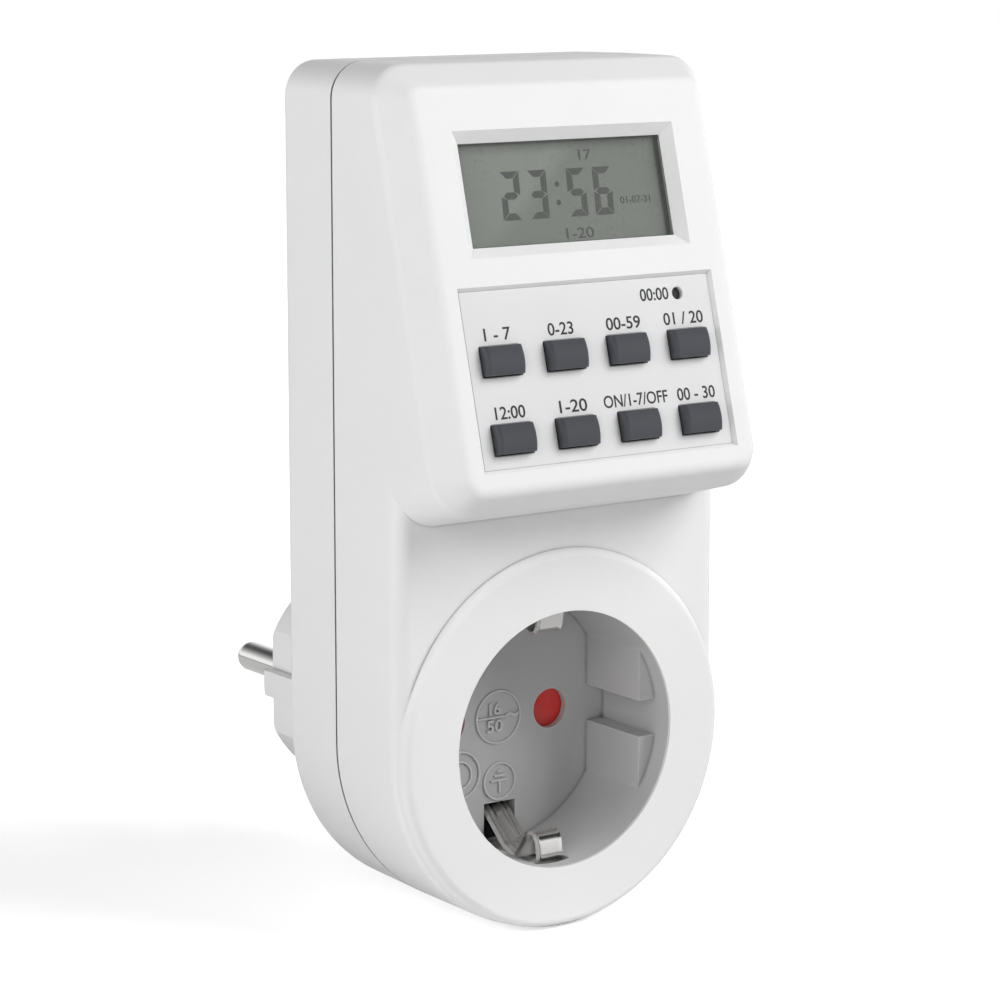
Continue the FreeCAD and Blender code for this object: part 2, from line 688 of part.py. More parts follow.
def contact_carrier():
    """Plate behind the shutter with its pivot and a sleeve for each socket contact."""
    plate = rod(0, 0, CARRIER_R, CARRIER_Y, CARRIER_BACK_Y)
    pivot = rod(0, 0, PIVOT_R, SHUTTER_Y + SHUTTER_GAP, CARRIER_Y + CUT)
    end_y = CARRIER_BACK_Y + SLEEVE_LENGTH
    shapes = [plate, pivot]
    cutters = []
    for x in (-PIN_X, PIN_X):
        half = SLEEVE_HALF
        shapes.append(box(x - half, x + half, CARRIER_BACK_Y - CUT, end_y, -half, half))
        room = half - SLEEVE_WALL
        cutters.append(box(x - room, x + room, CARRIER_BACK_Y, end_y + CUT, -room, room))
        cutters.append(rod(x, 0, PIN_HOLE_R, CARRIER_Y - CUT, CARRIER_BACK_Y + CUT))
    half = EARTH_SLOT_HALF
    for up in (-1, 1):
        zs = sorted((up * EARTH_SLOT_LOW, up * (CARRIER_R + CUT)))
        cutters.append(box(-half, half, CARRIER_Y - CUT, CARRIER_BACK_Y + CUT, zs[0], zs[1]))
    for x, z in carrier_screw_places():
        cutters.append(rod(x, z, SMALL_SCREW_R + LEAD_GAP, CARRIER_Y - CUT, CARRIER_BACK_Y + CUT))
    play = SPRING_WIRE_R + LEAD_GAP
    groove = rod(0, 0, SPRING_R + play, CARRIER_Y - CUT, CARRIER_Y + SPRING_GROOVE)
    cutters.append(groove.cut(rod(0, 0, SPRING_R - play, CARRIER_Y - 2 * CUT, CARRIER_BACK_Y)))
    return joined(shapes).cut(cutters)


def rounded_path(points, bend):
    """Straight runs with a tangent arc at every inner point."""
    edges = []
    last = points[0]
    for before, corner, after in zip(points, points[1:], points[2:]):
        back = (before - corner).normalize()
        ahead = (after - corner).normalize()
        turn = math.pi - back.getAngle(ahead)
        shorter = min((before - corner).Length, (after - corner).Length)
        radius = min(bend, 0.45 * shorter / math.tan(turn / 2))
        reach = radius * math.tan(turn / 2)
        middle = (back + ahead).normalize()
        depth = radius / math.cos(turn / 2) - radius
        start = corner + back * reach
        end = corner + ahead * reach
        if (start - last).Length > 1e-6:
            edges.append(Part.LineSegment(last, start).toShape())
        edges.append(Part.Arc(start, corner + middle * depth, end).toShape())
        last = end
    edges.append(Part.LineSegment(last, points[-1]).toShape())
    return edges


def sheet(points, thickness, width, bend):
    """Bent sheet metal: a path in the Y-Z plane given a thickness and a width along X."""
    edges = rounded_path([Vector(-width / 2, y, z) for y, z in points], bend)
    wire = Part.Wire(edges)
    start, end = points[0], points[1]
    along = Vector(0, end[0] - start[0], end[1] - start[1]).normalize()
    side = Vector(0, -along.z, along.y) * (thickness / 2)
    first = Vector(-width / 2, start[0], start[1])
    across = Vector(width, 0, 0)
    profile = Part.makePolygon([
        first + side,
        first + side + across,
        first - side + across,
        first - side,
        first + side,
    ])
    return wire.makePipeShell([profile], True, False)


def earth_bracket():
    """One strip: a bar behind the carrier and a sprung clip at each end in the well."""
    bar_y = CARRIER_BACK_Y + LEAD_GAP + STRIP_T / 2
    wall_z = WELL_R + CLIP_RECESS_DEPTH / 2
    knee_z = EARTH_SLOT_LOW + STRIP_T
    front_y = RING_FACE_Y + CLIP_RECESS_FRONT + CLIP_RECESS_DEPTH
    crest_y = RING_FACE_Y + CLIP_HUMP_Y
    crest_z = WELL_R - CLIP_HUMP
    half_crest = CLIP_HUMP / 7
    shoulder = CLIP_HUMP / 2.8
    fall = CLIP_HUMP / 4.8
    clip = [
        (bar_y, knee_z),
        (FLOOR_Y + FLOOR_T / 2, knee_z + STRIP_T),
        (FLOOR_Y - CLIP_HUMP, WELL_R - STRIP_T),
        (crest_y + CLIP_HUMP, wall_z),
        (crest_y + shoulder, crest_z + fall),
        (crest_y + half_crest, crest_z),
        (crest_y - half_crest, crest_z),
        (crest_y - shoulder, crest_z + fall),
        (front_y - STRIP_T, WELL_R - STRIP_T),
        (front_y + STRIP_T, wall_z),
    ]
    path = [(y, -z) for y, z in reversed(clip)] + clip
    return sheet(path, STRIP_T, STRIP_W, STRIP_BEND)


def plug_earth_strip():
    """Outer earth contact of the plug, joined by a bar inside the back."""
    low = plug_strip_low()
    mid = low + PLUG_STRIP_T / 2
    bar_y = BACK_INNER_Y - LEAD_GAP - PLUG_STRIP_T / 2
    end_y = PLUG_FACE_Y - PLUG_STRIP_SETBACK - LEAD_GAP
    path = [(end_y, -mid), (bar_y, -mid), (bar_y, mid), (end_y, mid)]
    return sheet(path, PLUG_STRIP_T, PLUG_STRIP_W, STRIP_BEND / 2)


def earth_post():
    """Riveted spacer that joins the clip bracket and the plug's earth strip."""
    y0 = CARRIER_BACK_Y + LEAD_GAP + STRIP_T
    y1 = BACK_INNER_Y - LEAD_GAP - PLUG_STRIP_T
    return rod(0, 0, STRIP_W / 2 - STRIP_T, y0, y1)


def plug_pin(side):
    """Round plug pin with a domed tip, a thinner neck in the boss, a collar and a riveted root."""
    x = side * PIN_X
    collar_y = PLUG_FACE_Y - PIN_ROOT
    shank = rod(x, 0, PIN_R, PLUG_FACE_Y, PLUG_FACE_Y + PIN_LENGTH)
    tip = edges_where(shank, lambda edge, middle: abs(middle.y - PLUG_FACE_Y - PIN_LENGTH) < 0.01)
    shank = shank.makeFillet(PIN_TIP_R, tip)
    neck = rod(x, 0, PIN_NECK_R, collar_y - PIN_R / 2, PLUG_FACE_Y + CUT)
    collar = rod(x, 0, PIN_SLEEVE_R - SLEEVE_WALL, collar_y - PIN_R / 2, collar_y - LEAD_GAP / 2)
    rivet = rod(x, 0, PIN_R / 2, collar_y - PIN_R - STRIP_T, collar_y)
    return joined([shank, neck, collar, rivet])


def socket_contact(side):
    """Two sprung leaves round the mating pin, on a folded back plate."""
    x = side * PIN_X
    room = SLEEVE_HALF - SLEEVE_WALL - LEAD_GAP
    y0 = CARRIER_BACK_Y + 2 * LEAD_GAP
    y1 = CARRIER_BACK_Y + SLEEVE_LENGTH
    y2 = contact_end_y()
    grip = PIN_R - LEAD_GAP + STRIP_T / 2
    flare = room - STRIP_T / 2
    leaf = [
        (y0, flare),
        (y0 + CONTACT_GRIP, grip),
        (y0 + 2 * CONTACT_GRIP, grip),
        (y1 - STRIP_BEND, flare),
        (y2, flare),
    ]
    half = room - STRIP_T
    upper = sheet(leaf, STRIP_T, 2 * half, STRIP_BEND)
    lower = sheet([(y, -z) for y, z in leaf], STRIP_T, 2 * half, STRIP_BEND)
    xs = sorted((side * room, side * half))
    plate = box(xs[0], xs[1], y2 - 2 * CONTACT_GRIP, y2, -room, room)
    contact = joined([upper, lower, plate])
    contact.translate(Vector(x, 0, 0))
    return contact


def root_tab(side, reach_y):
    """Strip riveted to a plug pin's root, bent to run forward above the contact."""
    eye_y = PLUG_FACE_Y - PIN_ROOT - PIN_R / 2 - LEAD_GAP / 2 - STRIP_T / 2
    run_z = SLEEVE_HALF - SLEEVE_WALL + STRIP_T / 2 - LEAD_GAP / 2
    path = [(eye_y, -PIN_R), (eye_y, run_z), (reach_y, run_z)]
    tab = sheet(path, STRIP_T, 2 * PIN_R, STRIP_BEND)
    tab = tab.cut(rod(0, 0, PIN_R / 2 + LEAD_GAP / 2, eye_y - STRIP_T, eye_y + STRIP_T))
    tab.translate(Vector(side * PIN_X, 0, 0))
    return tab


def contact_end_y():
    """Where the socket contacts end, behind their sleeves."""
    return CARRIER_BACK_Y + SLEEVE_LENGTH + PIN_R


def live_tab():
    """Tab on the live pin that carries its wire."""
    return root_tab(1, PLUG_FACE_Y - PIN_ROOT - 2 * PIN_R)


def neutral_link():
    """Strip from the neutral pin to its socket contact."""
    return root_tab(-1, contact_end_y() - PIN_R + 2 * LEAD_GAP)


def shutter_spring():
    """Open wire spring round the shutter's pivot, in a groove of the carrier, with balled ends."""
    turned = math.radians(SPRING_ARC)
    shapes = [Part.makeTorus(SPRING_R, SPRING_WIRE_R, Vector(0, 0, 0), Vector(0, 0, 1), 0, 360, SPRING_ARC)]
    for angle in (0, turned):
        end = Vector(SPRING_R * math.cos(angle), SPRING_R * math.sin(angle), 0)
        shapes.append(Part.makeSphere(SPRING_BEAD_R, end))
    spring = joined(shapes)
    spring.rotate(Vector(0, 0, 0), Vector(1, 0, 0), -90)
    spring.translate(Vector(0, CARRIER_Y + SPRING_BEAD_R + LEAD_GAP / 2, 0))
    return spring


def wire_tube(points):
    """Insulated wire along straight runs and tangent arcs."""
    path = Part.Wire(rounded_path([Vector(*point) for point in points], WIRE_BEND))
    along = (Vector(*points[1]) - Vector(*points[0])).normalize()
    profile = Part.Wire(Part.Circle(Vector(*points[0]), along, WIRE_R).toShape())
    return path.makePipeShell([profile], True, False)


def to_board(x, foot_x):
    """The last corners of a wire that rises at x and ends on the power board at foot_x."""
    foot_z = POWER_BOARD_Z[0] + WIRE_BOW / 2
    bow_y = POWER_BOARD_Y - WIRE_BOW
    return [
        (x, WIRE_DROP_Y, WIRE_KNEE_Z),
        (foot_x, bow_y, WIRE_KNEE_Z + WIRE_BEND),
        (foot_x, bow_y, foot_z),
        (foot_x, POWER_BOARD_Y - LEAD_GAP / 2, foot_z),
    ]


def live_in_wire():
    """Wire from the live pin's tab to the power board."""
    x = PIN_X - WIRE_ASIDE
    start_z = SLEEVE_HALF - SLEEVE_WALL + STRIP_T + WIRE_R
    return wire_tube([
        (x, PLUG_FACE_Y - PIN_ROOT - PIN_R, start_z),
        (x, WIRE_DROP_Y, start_z + WIRE_R),
    ] + to_board(x, WIRE_FOOT_X))


def live_out_wire():
    """Wire from the relay to the live socket contact."""
    x = PIN_X + WIRE_ASIDE
    relay_x = RELAY_X + RELAY[0] / 3
    relay_y = POWER_BOARD_Y - WIRE_BOW
    return wire_tube([
        (x, WIRE_DROP_Y, SLEEVE_HALF - SLEEVE_WALL),
        (x, WIRE_DROP_Y, WIRE_KNEE_Z + WIRE_BEND),
        (relay_x, relay_y, WIRE_KNEE_Z + 2 * WIRE_BEND),
        (relay_x, relay_y, PARTS_LOW_Z - LEAD_GAP / 2),
    ])


def neutral_wire():
    """Wire from the neutral link to the power board."""
    x = -PIN_X - WIRE_ASIDE
    start_z = SLEEVE_HALF - SLEEVE_WALL + STRIP_T + LEAD_GAP
    return wire_tube([(x, WIRE_DROP_Y, start_z)] + to_board(x, -WIRE_FOOT_X))


def board_part(x, z, size, lift):
    """Block on the front of the power board: x and z are its centre and its foot."""
    y1 = POWER_BOARD_Y - lift
    return box(x - size[0] / 2, x + size[0] / 2, y1 - size[1], y1, z, z + size[2])


def relay():
    """Relay in a moulded case with bevelled top edges."""
    case = board_part(RELAY_X, PARTS_LOW_Z, RELAY, LEAD_GAP / 2)
    top = edges_where(case, lambda edge, middle: abs(middle.y - case.BoundBox.YMin) < 0.01)
    return case.makeChamfer(BOARD_T / 2, top)


def film_capacitor():
    """Mains dropper capacitor."""
    return board_part(FILM_CAP_X, PARTS_LOW_Z, FILM_CAP, LEAD_GAP / 2)


def round_capacitor():
    """Smoothing capacitor standing on the power board, with a rolled groove at its foot."""
    y1 = POWER_BOARD_Y - LEAD_GAP / 2
    can = rod(ROUND_CAP_X, UPPER_PARTS_Z, ROUND_CAP_R, y1 - ROUND_CAP_LENGTH, y1)
    groove_at = Vector(ROUND_CAP_X, y1 - BOARD_T, UPPER_PARTS_Z)
    groove = Part.makeTorus(ROUND_CAP_R + 0.2, 0.6, groove_at, Vector(0, 1, 0))
    return can.cut(groove)


def varistor():
    """Disc that takes mains surges, standing on edge."""
    y = POWER_BOARD_Y - VARISTOR_R - LEAD_GAP / 2
    return Part.makeCylinder(VARISTOR_R, VARISTOR_T, Vector(VARISTOR_X, y, UPPER_PARTS_Z), Vector(1, 0, 0))


def fuse():
    """Axial fuse with its two end caps."""
    y = POWER_BOARD_Y - FUSE_R - LEAD_GAP / 2
    body = Part.makeCylinder(FUSE_R * 0.85, FUSE_LENGTH, Vector(FUSE_X, y, UPPER_PARTS_Z), Vector(0, 0, 1))
    cap = FUSE_LENGTH / 4
    low = Part.makeCylinder(FUSE_R, cap, Vector(FUSE_X, y, UPPER_PARTS_Z), Vector(0, 0, 1))
    high_z = UPPER_PARTS_Z + FUSE_LENGTH - cap
    high = Part.makeCylinder(FUSE_R, cap, Vector(FUSE_X, y, high_z), Vector(0, 0, 1))
    return joined([body, low, high])


def rectifier_diodes():
    """Four axial diodes side by side."""
    y = POWER_BOARD_Y - DIODE_R - LEAD_GAP / 2
    diodes = []
    for i in range(4):
        z = UPPER_PARTS_Z + (i - 1.5) * 3 * DIODE_R
        diodes.append(Part.makeCylinder(DIODE_R, DIODE_LENGTH, Vector(DIODE_X, y, z), Vector(1, 0, 0)))
    return Part.makeCompound(diodes)


def controller_chip():
    """Clock controller on the back of the display board."""
    w = DISPLAY_BOARD_W + BOARD_T
    u, v = CHIP_PLACE
    return on_face(face_box(u - CHIP / 2, u + CHIP / 2, v - CHIP / 2, v + CHIP / 2, w, w + BOARD_T))


def clock_crystal():
    """Round crystal lying on the back of the display board."""
    w = DISPLAY_BOARD_W + BOARD_T + CRYSTAL_R + LEAD_GAP / 2
    u, v = CRYSTAL_PLACE
    return on_face(Part.makeCylinder(CRYSTAL_R, CRYSTAL_LENGTH, Vector(u, v, -w), Vector(1, 0, 0)))


def backup_battery():
    """Button battery stack that keeps the clock running when unplugged."""
    w = DISPLAY_BOARD_W + BOARD_T
    u, v = BATTERY_PLACE
    cell = face_rod(u, v, BATTERY_R, w, w + BATTERY_T)
    step = face_rod(u, v, BATTERY_R * 0.8, w + BATTERY_T - CUT, w + BATTERY_T + CUT)
    return on_face(joined([cell, step]))


def board_cable():
    """Ribbon between the two boards."""
    tilt = math.radians(FACE_TILT)

    def at(v, w):
        y = FACE_CENTRE_Y + v * math.sin(tilt) + w * math.cos(tilt)
        z = FACE_CENTRE_Z + v * math.cos(tilt) - w * math.sin(tilt)
        return y, z

    start_w = DISPLAY_BOARD_W + BOARD_T + LEAD_GAP / 2
    start = at(CABLE_V, start_w)
    leave = at(CABLE_V, start_w + 2 * BOARD_T)
    end = (POWER_BOARD_Y - LEAD_GAP / 2, start[1] - 2 * BOARD_T)
    arrive = (POWER_BOARD_Y - 2 * BOARD_T, end[1])
    return sheet([start, leave, arrive, end], CABLE_T, CABLE_W, BOARD_T)


def key_cap(u, v):
    """Key with a crowned front and round ends, a flange behind the panel and a stem."""
    front = PANEL_DEPTH - KEY_PROUD
    flange_w = PANEL_WALL_W + REST_GAP
    cap = face_box(u - KEY_HALF_U, u + KEY_HALF_U, v - KEY_HALF_V, v + KEY_HALF_V, front, flange_w + CUT)
    bow_r = (KEY_HALF_V ** 2 + KEY_CROWN ** 2) / (2 * KEY_CROWN)
    bow = Part.makeCylinder(bow_r, 2 * KEY_HALF_U, Vector(u - KEY_HALF_U, v, -front - bow_r), Vector(1, 0, 0))
    cap = cap.common(bow)
    ends = edges_where(
        cap,
        lambda edge, middle: middle.z > -front - KEY_CROWN / 2 and abs(abs(middle.x - u) - KEY_HALF_U) < 0.01,
    )
    cap = cap.makeFillet(KEY_END_R, ends)
    flange = face_box(
        u - KEY_HALF_U - KEY_FLANGE,
        u + KEY_HALF_U + KEY_FLANGE,
        v - KEY_HALF_V - KEY_FLANGE,
        v + KEY_HALF_V + KEY_FLANGE,
        flange_w,
        flange_w + KEY_FLANGE_T,
    )
    stem_w = flange_w + KEY_FLANGE_T + KEY_STEM
    stem = face_rod(u, v, KEY_HALF_V * 0.75, flange_w, stem_w)
    return on_face(joined([cap, flange, stem]))


def key_switches():
    """One sealed push switch behind each key, on the display board."""
    stem_w = PANEL_WALL_W + REST_GAP + KEY_FLANGE_T + KEY_STEM
    top_w = stem_w + KEY_TRAVEL + REST_GAP
    switches = []
    for name, u, v in key_places():
        half = KEY_HALF_V + 0.2
        body = face_box(u - half, u + half, v - half, v + half, top_w + KEY_TRAVEL, DISPLAY_BOARD_W)
        button = face_rod(u, v, KEY_HALF_V / 2, top_w, top_w + KEY_TRAVEL + CUT)
        switches.append(on_face(joined([body, button])))
    return Part.makeCompound(switches)


def reset_button():
    """Small plunger at the bottom of the reset hole."""
    flange_w = PANEL_WALL_W + REST_GAP
    plunger = face_rod(RESET_U, RESET_V, RESET_R, RESET_SUNK, flange_w + KEY_FLANGE_T + KEY_STEM)
    flange = face_rod(RESET_U, RESET_V, RESET_R * 2, flange_w, flange_w + KEY_FLANGE_T)
    return on_face(joined([plunger, flange]))


def reset_switch():
    """Small switch behind the reset button."""
    top_w = PANEL_WALL_W + REST_GAP + KEY_FLANGE_T + KEY_STEM + RESET_TRAVEL + REST_GAP
    half = KEY_HALF_V
    low_v, high_v = RESET_V - half, RESET_V + half
    body = face_box(RESET_U - half, RESET_U + half, low_v, high_v, top_w + KEY_TRAVEL, DISPLAY_BOARD_W)
    button = face_rod(RESET_U, RESET_V, RESET_R, top_w, top_w + KEY_TRAVEL + CUT)
    return on_face(joined([body, button]))


def lcd_window():
    """Clear window with a raised pad that fills the display opening."""
    gap = LEAD_GAP
    low, high = LCD_CENTRE_V - LCD_HALF_V + gap, LCD_CENTRE_V + LCD_HALF_V - gap
    pad = face_box(-LCD_HALF_U + gap, LCD_HALF_U - gap, low, high, BEZEL_DEPTH + gap, WALL + gap + CUT)
    grow = WINDOW_FLANGE
    back = WALL + gap
    flange = face_box(
        -LCD_HALF_U - grow,
        LCD_HALF_U + grow,
        low - grow,
        high + grow,
        back,
        back + WINDOW_FLANGE_T,
    )
    return on_face(joined([pad, flange]))


def lcd_layers():
    """Depths at which the display glass starts, steps back and ends."""
    front = WALL + LEAD_GAP + WINDOW_FLANGE_T + LEAD_GAP / 2
    return front, front + LCD_PLATE_T, front + 2 * LCD_PLATE_T


def lcd_glass():
    """Two glass plates, the front one with a contact ledge below."""
    front, middle, back = lcd_layers()
    half = LCD_HALF_U + 0.8
    low, high = LCD_CENTRE_V - LCD_HALF_V - 1.0, LCD_CENTRE_V + LCD_HALF_V + 0.3
    ledge = face_box(-half, half, low - LCD_LEDGE, high, front, middle)
    plate = face_box(-half, half, low, high, middle - CUT, back)
    return on_face(joined([ledge, plate]))


def zebra_strip():
    """Striped rubber connector between the glass ledge and the board."""
    front, middle, back = lcd_layers()
    low = LCD_CENTRE_V - LCD_HALF_V - 1.0 - LCD_LEDGE
    return on_face(face_box(
        -LCD_HALF_U,
        LCD_HALF_U,
        low + 0.2,
        low + LCD_LEDGE - 0.2,
        middle,
        DISPLAY_BOARD_W,
    ))


def lcd_frame():
    """White frame that backs the display glass and stands on the board."""
    front, middle, back = lcd_layers()
    half = LCD_HALF_U + 0.6
    low, high = LCD_CENTRE_V - LCD_HALF_V - 0.8, LCD_CENTRE_V + LCD_HALF_V
    block = face_box(-half, half, low, high, back, DISPLAY_BOARD_W)
    wall = INSERT_WALL
    room = face_box(-half + wall, half - wall, low + wall, high - wall, back + wall, DISPLAY_BOARD_W + CUT)
    return on_face(block.cut(room))


def display_board():
    """Board behind the face that carries the display, the switches and the clock parts."""
    half = DISPLAY_BOARD_HALF
    board = face_box(
        -half,
        half,
        DISPLAY_BOARD_LOW_V,
        DISPLAY_BOARD_TOP_V,
        DISPLAY_BOARD_W,
        DISPLAY_BOARD_W + BOARD_T,
    )
    holes = []
    for u in (-DISPLAY_POST_U, DISPLAY_POST_U):
        for v in DISPLAY_POST_V:
            holes.append(face_rod(u, v, SMALL_SCREW_R + LEAD_GAP, 0, FAR))
    return on_face(board.cut(holes))


def small_screw(base, direction):
    """Small pan-head screw: base lies under the head, direction points to the tip."""
    shank = Part.makeCylinder(SMALL_SCREW_R, BOARD_T + SMALL_BITE - CUT, base, direction)
    head = Part.makeCylinder(SMALL_HEAD_R, SMALL_HEAD_T, base - direction * SMALL_HEAD_T, direction)
    return joined([shank, head])


def display_board_screws():
    """Four small screws through the display board into the posts."""
    screws = []
    base_w = DISPLAY_BOARD_W + BOARD_T
    for u in (-DISPLAY_POST_U, DISPLAY_POST_U):
        for v in DISPLAY_POST_V:
            screws.append(on_face(small_screw(Vector(u, v, -base_w), Vector(0, 0, 1))))
    return Part.makeCompound(screws)


def power_board():
    """Upright board on the rear shell that carries the mains parts."""
    half = POWER_BOARD_HALF
    y1 = POWER_BOARD_Y + BOARD_T
    board = box(-half, half, POWER_BOARD_Y, y1, POWER_BOARD_Z[0], POWER_BOARD_Z[1])
    holes = []
    for x in (-POWER_POST_X, POWER_POST_X):
        for z in POWER_POST_Z:
            holes.append(rod(x, z, SMALL_SCREW_R + LEAD_GAP, POWER_BOARD_Y - CUT, y1 + CUT))
    return board.cut(holes)


def power_board_screws():
    """Four small screws through the power board into the rear posts."""
    screws = []
    for x in (-POWER_POST_X, POWER_POST_X):
        for z in POWER_POST_Z:
            shank_length = BOARD_T + POWER_BOARD_STANDOFF - CUT
            shank = rod(x, z, SMALL_SCREW_R, POWER_BOARD_Y - CUT, POWER_BOARD_Y + shank_length)
            head = rod(x, z, SMALL_HEAD_R, POWER_BOARD_Y - SMALL_HEAD_T, POWER_BOARD_Y)
            screws.append(joined([shank, head]))
    return Part.makeCompound(screws)


def housing_screws():
    """Four long screws that hold the two shells together, driven from the back."""
    screws = []
    seat = SEAM_Y + SEAM_GAP / 2 + SCREW_SEAT
    for x in (-SCREW_X, SCREW_X):
        for z in SCREW_Z:
            shank = rod(x, z, SCREW_R, SEAM_Y - SEAM_GAP / 2 - SCREW_BITE, seat + CUT)
            head = rod(x, z, SCREW_HEAD_R, seat, seat + SCREW_HEAD_T)
            rim = edges_where(head, lambda edge, middle: abs(middle.y - seat - SCREW_HEAD_T) < 0.01)
            head = head.makeChamfer(SCREW_HEAD_T / 4, rim)
            slot = SCREW_R / 2
            y0, y1 = seat + SCREW_HEAD_T / 2, seat + FAR
            recess = box(x - slot / 2, x + slot / 2, y0, y1, z - 2 * slot, z + 2 * slot)
            cross = box(x - 2 * slot, x + 2 * slot, y0, y1, z - slot / 2, z + slot / 2)
            screws.append(joined([shank, head]).cut([recess, cross]))
    return Part.makeCompound(screws)


def carrier_screws():
    """Two small screws that hold the carrier to the well."""
    screws = []
    for x, z in carrier_screw_places():
        shank = rod(x, z, SMALL_SCREW_R, FLOOR_BACK_Y - FLOOR_T / 4, CARRIER_BACK_Y + CUT)
        head = rod(x, z, SMALL_HEAD_R, CARRIER_BACK_Y, CARRIER_BACK_Y + SMALL_HEAD_T)
        screws.append(joined([shank, head]))
    return Part.makeCompound(screws)


def export(name, shape):
    """Write one node."""
    shape.exportStep("parts/" + name + ".step")
    print(name, len(shape.Solids), shape.isValid(), round(shape.Volume, 1))


def main():
    """Build every node."""
    os.makedirs("parts", exist_ok=True)
    export("front_housing", front_housing())
    export("rear_housing", rear_housing())
    export("socket_insert", socket_insert())
    export("pin_shutter", pin_shutter())
    export("contact_carrier", contact_carrier())
    export("earth_bracket", earth_bracket())
    export("plug_earth_strip", plug_earth_strip())
    export("earth_post", earth_post())
    export("left_plug_pin", plug_pin(-1))
    export("right_plug_pin", plug_pin(1))
    export("left_socket_contact", socket_contact(-1))
    export("right_socket_contact", socket_contact(1))
    export("lcd_window", lcd_window())
    export("lcd_glass", lcd_glass())
    export("lcd_frame", lcd_frame())
    export("zebra_strip", zebra_strip())
    export("display_board", display_board())
    export("display_board_screws", display_board_screws())
    export("key_switches", key_switches())
    export("reset_switch", reset_switch())
    export("reset_button", reset_button())
    for name, u, v in key_places():
        export(name, key_cap(u, v))
    export("controller_chip", controller_chip())
    export("clock_crystal", clock_crystal())
    export("backup_battery", backup_battery())
    export("board_cable", board_cable())
    export("power_board", power_board())
    export("relay", relay())
    export("film_capacitor", film_capacitor())
    export("round_capacitor", round_capacitor())
    export("varistor", varistor())
    export("fuse", fuse())
    export("rectifier_diodes", rectifier_diodes())
    export("live_tab", live_tab())
    export("neutral_link", neutral_link())
    export("live_in_wire", live_in_wire())
    export("live_out_wire", live_out_wire())
    export("neutral_wire", neutral_wire())
    export("shutter_spring", shutter_spring())
    export("power_board_screws", power_board_screws())
    export("carrier_screws", carrier_screws())
    export("housing_screws", housing_screws())


if __name__ == "__main__":
    main()
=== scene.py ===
import json
import logging
import math
from dataclasses import dataclass, field
from enum import Enum
from typing import Any, Callable, Mapping, Optional, Sequence

import bpy
from mathutils import Matrix, Vector


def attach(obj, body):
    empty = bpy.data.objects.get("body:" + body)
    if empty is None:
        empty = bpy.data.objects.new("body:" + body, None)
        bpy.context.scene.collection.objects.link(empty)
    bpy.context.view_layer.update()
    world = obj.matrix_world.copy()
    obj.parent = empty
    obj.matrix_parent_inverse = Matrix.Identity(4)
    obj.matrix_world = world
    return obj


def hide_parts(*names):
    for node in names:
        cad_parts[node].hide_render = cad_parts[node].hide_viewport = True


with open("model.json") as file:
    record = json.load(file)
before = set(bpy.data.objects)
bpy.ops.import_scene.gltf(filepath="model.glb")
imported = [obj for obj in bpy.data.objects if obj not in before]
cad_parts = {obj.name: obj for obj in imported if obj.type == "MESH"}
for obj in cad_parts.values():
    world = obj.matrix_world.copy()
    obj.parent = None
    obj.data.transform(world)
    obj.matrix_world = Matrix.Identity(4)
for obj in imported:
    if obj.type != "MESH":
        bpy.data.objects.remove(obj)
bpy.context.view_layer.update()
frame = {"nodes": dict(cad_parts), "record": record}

MM = 0.001
WHITE = (1.0, 1.0, 1.0, 1.0)
log = logging.getLogger("timer")

Triple = tuple[float, float, float]
Socket = bpy.types.NodeSocket
Tree = bpy.types.NodeTree
Inputs = Mapping[Any, Any]
PlaceTest = Callable[[Vector, Vector], bool]


# Bench work

# How much of an edge's direction lies along an axis when it runs along it, or square to it
ALONG = 0.9
SQUARE = 0.1
# How far a tool reaches that cuts right through a thin piece
THROUGH = 1.0
# How close doubled points lie
DOUBLED = 0.001
# Lettering: how far its strokes are widened, the steps of its curves and its depth before it is scaled
TYPE_WEIGHT = 0.012
TYPE_STEPS = 5
TYPE_DEPTH = 0.5


class Element(Enum):
    """What a selection is made of."""

    VERT = "VERT"
    EDGE = "EDGE"


def deselect() -> None:
    """Leave edit mode and put every object down."""
    if bpy.context.mode != "OBJECT":
        bpy.ops.object.mode_set(mode="OBJECT")
    bpy.ops.object.select_all(action="DESELECT")


def upright(middle: Vector, way: Vector) -> bool:
    """Take the edges that stand along Z."""
    return abs(way.z) > ALONG


def upper_rim(middle: Vector, way: Vector) -> bool:
    """Take the level edges of the upper side."""
    return middle.z > 0.0 and abs(way.z) < SQUARE


